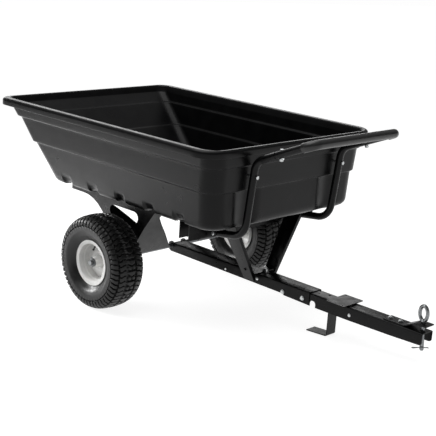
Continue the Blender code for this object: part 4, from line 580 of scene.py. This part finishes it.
def tread_block(turns, across):
    """Raised rubber, from 0 in a groove to 1 on a block: long wavy shoulder bars, a band of shorter ones
    inside them, and the chain of hearts and ovals."""
    out = np.abs(across)
    half_step = np.where(across < 0, 0.5, 0.0)
    shoulder = wavy_bars(turns, out, half_step, *SHOULDER_BARS)
    band = wavy_bars(turns, out, half_step + INNER_PHASE, *INNER_BARS)
    bars = np.maximum(shoulder, band) / BAR_FLANK + BAR_FOOT
    return eased(np.maximum(bars, chain_blocks(turns, across) / CHAIN_FLANK + CHAIN_FOOT))


def tyre_section():
    """The carcass section from one bead over the tread to the other, closely set where the tread is."""
    fine = smooth_curve(TYRE_KEYS, CURVE_POINTS) * WHEEL_SCALE
    length = run_length(fine)
    edge = length[-1] - FINE_BAND
    beads = np.linspace(0, edge, BEAD_POINTS, endpoint=False)
    at = np.concatenate([beads, np.linspace(edge, length[-1], FINE_POINTS)])
    half = np.stack([np.interp(at, length, fine[:, i]) for i in range(2)], axis=1)
    return np.vstack([half, half[-2::-1] * [-1, 1]])


def build_tyre(side, sign):
    """A carcass section turned about the axle, with the tread's blocks standing off it along its normal."""
    section = tyre_section()
    normal = section_normals(section)
    length = run_length(section)
    across = (length[-1] / 2 - length)[None, :]
    out = np.abs(across)
    count = TREAD_REPEATS * TREAD_STEPS
    turns = np.arange(count)[:, None] / count
    drop = TREAD_DEPTH * (1 - tread_block(turns, across)) * eased((TREAD_HALF - out) / TREAD_FADE)
    ribs = RIB_HEIGHT * np.cos(turns * 2 * np.pi * TREAD_REPEATS * 2)
    ribs = ribs * eased((RIB_END - out) / RIB_FALL) * eased((out - RIB_START) / RIB_RISE)
    rings = RING_HEIGHT * sum(eased((half - np.abs(out - at)) / RING_FALL) for at, half in RINGS)
    depth = drop - rings - ribs
    s = section[None, :, 0] - normal[None, :, 0] * depth
    r = section[None, :, 1] - normal[None, :, 1] * depth
    low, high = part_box(f"tyre_{side}")
    half_width = (high[1] - low[1]) / 2
    s, r = np.clip(s, -half_width, half_width), np.minimum(r, TYRE_R)
    inside = [(-s_in, r_in) for s_in, r_in in TYRE_INSIDE] + [TYRE_CROWN] + TYRE_INSIDE[::-1]
    inside = WHEEL_SCALE * np.array(inside)
    s = np.concatenate([s, np.repeat(inside[None, :, 0], count, axis=0)], axis=1)
    r = np.concatenate([r, np.repeat(inside[None, :, 1], count, axis=0)], axis=1)
    angle = 2 * np.pi * turns - np.pi / 2
    grid = [r * np.cos(angle) - MIDDLE_X, sign * (WHEEL_Y + s), r * np.sin(angle) + TYRE_R]
    patches = [(np.stack(grid, axis=-1), True, True, False)]
    piece(f"turf_tyre_{side}", patches, RUBBER, f"wheel_{side}", f"tyre_{side}", sharp=60)


def build_rim(side, sign):
    """A pressed rim: rolled lips, a drop-centre barrel, a dished disc and a hub tube, one turned section. The
    hub keeps its size, and the rest goes by the wheel's scale."""
    profile = RIM_FLANGE + RIM_WELL + mirrored(RIM_WELL) + mirrored(RIM_FLANGE)
    profile += mirrored(RIM_UNDER)[::-1] + DISC_BACK + DISC_FACE + RIM_UNDER[::-1]
    profile = [(sign * s * WHEEL_SCALE, r * WHEEL_SCALE if r > HUB_RADIUS else r) for s, r in profile]
    grid = turned(profile, (-MIDDLE_X, sign * WHEEL_Y, TYRE_R), (0, 1, 0), RIM_SIDES)
    patches = [(grid, True, True, False)]
    piece(f"pressed_rim_{side}", patches, ENAMEL, f"wheel_{side}", f"rim_{side}", sharp=35)


def build_valve(side, sign):
    """A snap-in valve: rubber foot, slim stem and a ribbed cap, turned about its leaning axis."""
    radial = np.array([math.cos(VALVE_ANGLE), 0, math.sin(VALVE_ANGLE)])
    foot = radial * VALVE_SEAT * WHEEL_SCALE + [-MIDDLE_X, sign * (WHEEL_Y + VALVE_OUT), TYRE_R]
    lean = -radial * VALVE_IN + np.array([0, sign * VALVE_ASIDE, 0])
    cap = [(0.0204 + 0.001 * k, 0.0042 - 0.0004 * (k % 2)) for k in range(8)]
    grid = turned(VALVE_STEM + cap + VALVE_TIP, foot + lean * VALVE_START, lean, VALVE_SIDES)
    patches = [(grid, False, True, True)]
    piece(f"valve_stem_{side}", patches, RUBBER, f"wheel_{side}", f"valve_{side}", sharp=30)


# The handle. A pair is x and z in the cart's frame

RUN_REAR, RUN_CORNER, LEG_TOP = (0.485, 0.2225), (0.651, 0.2435), (0.681, 0.5273)
ARM_JOINT, BAR_CENTRE = (0.800, 0.5768), (0.928, 0.630)
SLOPE = (BAR_CENTRE[1] - ARM_JOINT[1]) / (BAR_CENTRE[0] - ARM_JOINT[0])
HANDLE_Y, TUBE_R, TUBE_WALL = 0.240, 0.014, 0.0018
RUN_BEND, LEG_BEND, BAR_BEND = 0.070, 0.060, 0.034
BAR_START, LEG_END = 0.775, 0.773
SPIGOT_END, SPIGOT_R, SOCKET_DEPTH = 0.835, 0.0118, 0.062
GRIP_END, GRIP_R, GRIP_SIDES = 0.890, 0.017, 36
BORE_RUN, BORE_RISE, BORE_FLOOR = 0.036, 0.0046, 0.02


def arm_z(x):
    """The height of an arm's middle line, which the bar goes on with."""
    return ARM_JOINT[1] + (x - ARM_JOINT[0]) * SLOPE


def bar_route(start):
    """The bar's middle line, from a point on the right arm across to the same point on the left one."""
    side = [(start, arm_z(start)), BAR_CENTRE]
    points = [(x, -HANDLE_Y, z) for x, z in side] + [(x, HANDLE_Y, z) for x, z in side[::-1]]
    return bent_route(points, (BAR_BEND, BAR_BEND), steps=14)


def build_leg(side, sign):
    """A bent tube leg with an open lower end and a swaged upper one."""
    y, across = sign * HANDLE_Y, (0, 1, 0)
    keys = [(x, y, z) for x, z in (RUN_REAR, RUN_CORNER, LEG_TOP, (LEG_END, arm_z(LEG_END)))]
    route = bent_route(keys, (RUN_BEND, LEG_BEND), steps=18)
    skin = swept(route, TUBE_R, across)
    bore = swept([route[0], route[0] + [BORE_RUN, 0, BORE_RISE]], TUBE_R - TUBE_WALL, across)
    middle = bore[1:].mean(axis=1, keepdims=True)
    floor = middle + BORE_FLOOR * (bore[1:] - middle)
    swage = swept([(x, y, arm_z(x)) for x in (LEG_END, LEG_END + MM, SPIGOT_END)], SPIGOT_R, across)
    grid = np.concatenate([floor, bore[::-1], skin, swage[:1], swage[-1:]], axis=0)
    patches = [(to_row(grid), False, True, True)]
    piece(f"bent_leg_{side}", patches, COAT, "tub_unit", f"handle_leg_{side}", sharp=40)


def build_bar():
    """A U-shaped bar with a socket in each end, and the sleeve on it."""
    across = np.array([-SLOPE, 0, 1]) / math.hypot(SLOPE, 1)
    route = bar_route(BAR_START)
    rear, far = (tip + unit(inner - tip) * SOCKET_DEPTH for tip, inner in (route[:2], route[:-3:-1]))
    sockets = [swept(ends, SPIGOT_R + GAP, across)[::-1] for ends in ((route[0], rear), (far, route[-1]))]
    grid = np.concatenate([sockets[0], swept(route, TUBE_R, across), sockets[1]], axis=0)
    patches = [(to_row(grid), False, True, True)]
    piece("handle_bow", patches, COAT, "tub_unit", "handle_bar", sharp=40)
    route = bar_route(GRIP_END)
    skin, bore = (swept(route, radius, across, GRIP_SIDES) for radius in (GRIP_R, TUBE_R + GAP))
    grid = np.concatenate([skin, bore[::-1]], axis=0)
    patches = [(to_row(grid), True, True, False)]
    piece("grip_sleeve", patches, VINYL, "tub_unit", "handle_grip", sharp=50)


# Fasteners. A profile's third value is half a hexagon's width across flats, or 0 for a round row

BOLT_R, BOLT_SIDES = 0.004, 36
HEAD_TOP, HEAD_CORNER, HEX_FLAT, WASHER_R = 0.0055, 0.0076, 0.0065, 0.0086
THREAD_PITCH, THREAD_CREST, THREAD_ROOT = 0.0011, 0.0005, 0.90
BEAM_SIDE, TONGUE_SIDE, TONGUE_TOP = 0.0347, 0.0314, 0.0337
TOP_GRIP, PLATE_SHEET = 0.0073, 0.004
CROSS_BOLTS = (("rear", 0.679, 0.002), ("front", 0.776, 0.006))
PLATE_BOLTS = (("rear", 1.147), ("front", 1.190))
RIVET_X, RIVET_Y = 0.9269, 0.018
RUN_BOLT_X, RUN_BOLT_GRIP = 0.514, 0.0346
WALL_BOLT_Z, WALL_BOLT_END, WALL_BOLT_OFF = 0.471, 0.639, 0.0007
ARM_BOLT_X, ARM_BOLT_OFF = 0.797, 0.0012

# Pins across the drawbar: name, node, x, z, half the channel's width, pin, head and the head's rise
CROSS_PINS = (
    ("latch_pivot", "latch_bolt", 0.546, 0.016, BEAM_SIDE, 0.004, 0.0064, 0.0028),
    ("spring_pivot", "spring_bolt", 0.376, 0.008, BEAM_SIDE, 0.003, 0.0048, 0.0022),
    ("pedal_pivot", "pedal_bolt", 0.993, 0.005, TONGUE_SIDE, 0.004, 0.0064, 0.0028),
)


def fastener(name, node, rows, seat, direction, body, sharp, ring=False):
    """A profile turned about a fastener's axis in zinc: a solid with closed ends, or a ring."""
    grid = turned(rows, seat, direction, BOLT_SIDES)
    piece(name, [(to_row(grid), ring, True, not ring)], ZINC, body, node, sharp)


def build_bolt(name, node, seat, direction, grip, body, tail, washer=True):
    """A hexagon-headed bolt: chamfered head, thin washer, plain shank and a thread of shallow rings."""
    rows = [(-HEAD_TOP, 0.0040, 0), (-HEAD_TOP, 0.0058, HEX_FLAT), (-0.0050, 0.0075, HEX_FLAT)]
    rows += [(-0.0016 - GAP, HEAD_CORNER, HEX_FLAT)]
    if washer:
        rows += [(-0.0014 - GAP, WASHER_R, 0), (-GAP, WASHER_R, 0)]
    else:
        rows += [(-GAP, HEAD_CORNER, HEX_FLAT)]
    rows += [(-GAP, BOLT_R, 0), (max(grip - 0.004, 0.001), BOLT_R, 0)]
    start, end = max(grip - 0.003, 0.002), grip + tail
    threads = max(2, int((end - start) / THREAD_PITCH))
    for i in range(threads):
        at = start + (end - start - 0.001) * i / threads
        rows += [(at, BOLT_R, 0), (at + THREAD_CREST, BOLT_R * THREAD_ROOT, 0)]
    rows += [(end - 0.0008, BOLT_R, 0), (end, BOLT_R * 0.75, 0), (end, BOLT_R * 0.3, 0)]
    fastener(name, node, rows, seat, direction, body, sharp=30)


def build_round_head(name, node, seat, direction, grip, radius, head, rise):
    """A pin with a domed head at both ends: each dome is part of a circle's arc."""
    arc = np.linspace(0, math.pi / 2, 7)
    dome = [(rise * math.cos(a), head * math.sin(a) + 0.0001) for a in arc]
    rows = [(-GAP - out, r) for out, r in dome] + [(-GAP, radius), (grip + GAP, radius)]
    rows += [(grip + GAP + out, r) for out, r in dome[::-1]]
    fastener(name, node, rows, seat, direction, "drawbar", sharp=35)


def build_arm_bolt(name, node, seat, grip):
    """A bolt through an arm from above: a low domed head, and below the arm a washer, a nut and a tail."""
    flat, corner, washer, nut = 0.0068, 0.0078, 0.0090, grip + 0.0016
    rows = [(-0.0026 * math.cos(a), 0.0074 * math.sin(a) + 0.0001, 0) for a in np.linspace(0, math.pi / 2, 6)]
    rows += [(0, BOLT_R, 0), (grip, BOLT_R, 0), (grip, washer, 0), (nut, washer, 0)]
    rows += [(nut, flat, flat), (nut + 0.0008, corner, flat), (nut + 0.0056, corner, flat)]
    rows += [(nut + 0.0064, flat, flat), (nut + 0.0064, BOLT_R, 0)]
    for turn in range(2):
        at = nut + 0.0068 + 0.0008 * turn
        rows += [(at, BOLT_R * THREAD_ROOT, 0), (at + 0.0004, BOLT_R, 0)]
    rows += [(nut + 0.0086, 0.0030, 0)]
    fastener(name, node, rows, seat, (0, 0, -1), "tub_unit", sharp=30)


def build_nut(name, node, seat, direction):
    """A hexagon nut with both faces chamfered and a plain bore."""
    bore, face, top = BOLT_R + GAP, 0.0062, 0.0064
    rows = [(GAP, bore, 0), (GAP, face, HEX_FLAT), (0.0009, HEAD_CORNER, HEX_FLAT)]
    rows += [(0.0058, HEAD_CORNER, HEX_FLAT), (top, face, HEX_FLAT), (top, bore, 0)]
    fastener(name, node, rows, seat, direction, "drawbar", sharp=30, ring=True)


def build_drawbar_fasteners():
    left, down = (0, 1, 0), (0, 0, -1)
    for end, x, z in CROSS_BOLTS:
        seat = (x, -BEAM_SIDE, z)
        build_bolt(f"cross_bolt_{end}", f"joint_bolt_{end}", seat, left, 2 * BEAM_SIDE, "drawbar", 0.009)
        build_nut(f"cross_nut_{end}", f"joint_nut_{end}", (x, BEAM_SIDE, z), left)
    for name, node, x, z, half, radius, head, rise in CROSS_PINS:
        build_round_head(name, node, (x, -half, z), left, 2 * half, radius, head, rise)
    for side, sign in SIDES:
        seat = (RIVET_X, sign * RIVET_Y, TONGUE_TOP)
        name, node = f"stand_rivet_head_{side}", f"stand_rivet_{side}"
        build_round_head(name, node, seat, down, TOP_GRIP, 0.003, 0.0057, 0.0018)
    for end, x in PLATE_BOLTS:
        seat = (x, 0, TONGUE_TOP + PLATE_SHEET + GAP)
        build_bolt(f"plate_bolt_{end}", f"hitch_bolt_{end}", seat, down, TOP_GRIP, "drawbar", 0.008)


def build_handle_fasteners():
    run_z = RUN_REAR[1]
    run_z += (RUN_BOLT_X - RUN_REAR[0]) * (RUN_CORNER[1] - RUN_REAR[1]) / (RUN_CORNER[0] - RUN_REAR[0])
    lean = (LEG_TOP[0] - RUN_CORNER[0]) / (LEG_TOP[1] - RUN_CORNER[1])
    front = RUN_CORNER[0] + lean * (WALL_BOLT_Z - RUN_CORNER[1]) + TUBE_R
    wall_grip = front - WALL_BOLT_END
    reach = TUBE_R * math.hypot(1, SLOPE)
    for side, sign in SIDES:
        y = sign * HANDLE_Y
        name, node = f"run_end_bolt_{side}", f"run_bolt_{side}"
        seat = (RUN_BOLT_X, y - RUN_BOLT_GRIP / 2, run_z)
        build_bolt(name, node, seat, (0, 1, 0), RUN_BOLT_GRIP, "tub_unit", 0.006, washer=False)
        name, node = f"leg_bolt_{side}", f"wall_bolt_{side}"
        seat = (front + WALL_BOLT_OFF, y, WALL_BOLT_Z)
        build_bolt(name, node, seat, (-1, 0, 0), wall_grip, "tub_unit", 0.003, washer=False)
        seat = (ARM_BOLT_X, y, arm_z(ARM_BOLT_X) + reach + ARM_BOLT_OFF)
        build_arm_bolt(f"arm_bolt_{side}", f"handle_bolt_{side}", seat, 2 * reach + 0.0020)


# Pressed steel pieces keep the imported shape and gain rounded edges

STEELWORK = {
    "drawbar_rear": "beam_channel",
    "drawbar_front": "tongue_channel",
    "stand": "stand_strap",
    "hitch_plate": "clevis_plate",
    "latch_pedal": "foot_pedal",
    "latch_saddle": "saddle_strap",
    "brace_left": "folded_brace_left",
    "brace_right": "folded_brace_right",
    "axle_bracket_left": "stamped_bracket_left",
    "axle_bracket_right": "stamped_bracket_right",
    "cross_member": "under_channel",
}
SHEET_EDGE, HOOK_EDGE, EDGE_CUTS = 0.0007, 0.0004, 2
FLAT_ANGLE, EDGE_ANGLE, SHARP_ANGLE = 0.6, 28, 60


def softened(node, name, material, width):
    """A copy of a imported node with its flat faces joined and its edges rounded."""
    source = NODES[node]
    shape = bmesh.new()
    shape.from_mesh(source.data)
    bmesh.ops.remove_doubles(shape, verts=shape.verts, dist=2 * MERGE)
    flat = math.radians(FLAT_ANGLE)
    bmesh.ops.dissolve_limit(shape, angle_limit=flat, verts=shape.verts, edges=shape.edges)
    mesh = bpy.data.meshes.new(name)
    shape.to_mesh(mesh)
    shape.free()
    made = show(name, mesh, material, source["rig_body"], node, SHARP_ANGLE)
    bevel = made.modifiers.new("edges", "BEVEL")
    bevel.width, bevel.segments, bevel.limit_method = width, EDGE_CUTS, "ANGLE"
    bevel.angle_limit = math.radians(EDGE_ANGLE)


def coat_remaining():
    """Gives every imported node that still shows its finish."""
    by_slot = {slot: material for material, slot in SLOTS.items()}
    for part in frame["record"]["subparts"]:
        name, slot = part["node"], part["material_slot"]
        material = by_slot[slot]
        if name == "hitch_pin":
            material = WIRE
        elif slot == "zinc" and name.startswith(("axle", "washer")):
            material = BAR
        slots = NODES[name].data.materials
        slots.clear()
        slots.append(material)


# Studio

FLOOR_COLOUR, FLOOR_LIFT = "#a0a0a0", 0.86
FLOOR_RINGS, FLOOR_SIDES = ((4.0, 0.0), (36.0, 0.0), (40.0, 0.4), (42.0, 1.8)), 96
SKY_LOW, SKY_HIGH = 0.06, 0.6

# Soft lamps: name, place, target, width and depth, watts
LAMPS = (
    ("overhead", (-0.4, -0.6, 3.4), (-0.4, -0.6, 0), (3.2, 2.6), 60),
    ("behind", (-3.0, 2.2, 2.05), (-0.1, 0, 0.4), (3.8, 1.1), 38),
    ("left_rear", (-1.85, -1.10, 0.75), (-1.85, -1.10, 0), (1.1, 0.9), 95),
)

# The camera as solved in the cart's frame, while its pitch was taken as SOLVED_PITCH
CAMERA_AT = (3.05449, -2.871, 1.28877)
CAMERA_DOWN, CAMERA_TURN, SOLVED_PITCH = 11.78, 44.88, 5.156874
FOCAL_PIXELS, PICTURE_PIXELS, SENSOR = 1035.75, 436, 36


def plain_stage():
    """A round white floor that keeps the cart's shadow. It glows to the rays that show it, seen or reflected,
    and turns up a little at its far edge."""
    matt = {"Base Color": hex_colour(FLOOR_COLOUR), "Roughness": 0.9, "Specular IOR Level": 0.0}
    material, tree, shader = start_material("studio_floor", matt)
    path = add_node(tree, "ShaderNodeLightPath")
    larger = {"operation": "MAXIMUM"}
    seen = add_node(tree, "ShaderNodeMath", larger, {0: (path, "Is Camera Ray"), 1: (path, "Is Glossy Ray")})
    through = {0: (seen, "Value"), 1: (path, "Is Transmission Ray")}
    shown = add_node(tree, "ShaderNodeMath", larger, through)
    product = {"operation": "MULTIPLY", 1: FLOOR_LIFT}
    lift = add_node(tree, "ShaderNodeMath", product, {0: (shown, "Value")})
    shader.inputs["Emission Color"].default_value = WHITE
    tree.links.new(lift.outputs["Value"], shader.inputs["Emission Strength"])
    angle = np.linspace(0, 2 * np.pi, FLOOR_SIDES, endpoint=False)
    points = [(r * math.cos(a), r * math.sin(a), z) for r, z in FLOOR_RINGS for a in angle]
    quads = grid_faces(len(FLOOR_RINGS), FLOOR_SIDES, False, True)
    faces = [tuple(range(FLOOR_SIDES))] + [tuple(int(v) for v in quad) for quad in quads]
    mesh = bpy.data.meshes.new("studio_floor")
    mesh.from_pydata(points, [], faces)
    mesh.materials.append(material)
    floor = bpy.data.objects.new("studio_floor", mesh)
    bpy.context.scene.collection.objects.link(floor)


def softbox(name, location, target, size, power):
    """A rectangular lamp that faces a target."""
    lamp = bpy.data.lights.new(name, "AREA")
    lamp.shape = "RECTANGLE"
    lamp.size, lamp.size_y = size
    lamp.energy = power
    made = bpy.data.objects.new(name, lamp)
    bpy.context.scene.collection.objects.link(made)
    made.location = location
    direction = np.array(target, float) - np.array(location, float)
    tilt = math.acos(-direction[2] / np.linalg.norm(direction))
    made.rotation_euler = (tilt, 0, math.atan2(direction[1], direction[0]) - math.pi / 2)


def sky():
    """A plain sky that grows brighter with height."""
    world = bpy.data.worlds.new("studio")
    bpy.context.scene.world = world
    world.use_nodes = True
    tree = world.node_tree
    tree.nodes.clear()
    place = add_node(tree, "ShaderNodeTexCoord")
    height = add_node(tree, "ShaderNodeSeparateXYZ", links={"Vector": (place, "Generated")})
    ends = {"To Min": SKY_LOW, "To Max": SKY_HIGH}
    strength = add_node(tree, "ShaderNodeMapRange", ends, {"Value": (height, "Z")})
    light = add_node(tree, "ShaderNodeBackground", {"Color": WHITE}, {"Strength": (strength, "Result")})
    add_node(tree, "ShaderNodeOutputWorld", links={"Surface": (light, "Background")})


def camera():
    lens = bpy.data.cameras.new("camera")
    lens.lens, lens.sensor_width = FOCAL_PIXELS / PICTURE_PIXELS * SENSOR, SENSOR
    view = bpy.data.objects.new("camera", lens)
    bpy.context.scene.collection.objects.link(view)
    view.location = to_row(CAMERA_AT)
    aim = Euler((math.radians(90 - CAMERA_DOWN), 0, math.radians(CAMERA_TURN))).to_matrix()
    pitch = Matrix.Rotation(PITCH - math.radians(SOLVED_PITCH), 3, "Y")
    view.rotation_euler = (pitch @ aim).to_euler()
    bpy.context.scene.camera = view
    bpy.context.scene.view_settings.view_transform = "Standard"


coat_remaining()
build_tub()
for side, sign in SIDES:
    build_tyre(side, sign)
    build_rim(side, sign)
    build_valve(side, sign)
for side, sign in SIDES:
    build_leg(side, sign)
build_bar()
build_drawbar_fasteners()
build_handle_fasteners()
for node, name in STEELWORK.items():
    softened(node, name, COAT, SHEET_EDGE)
softened("latch_hook", "hook_plate", ZINC, HOOK_EDGE)
plain_stage()
sky()
for lamp in LAMPS:
    softbox(*lamp)
camera()
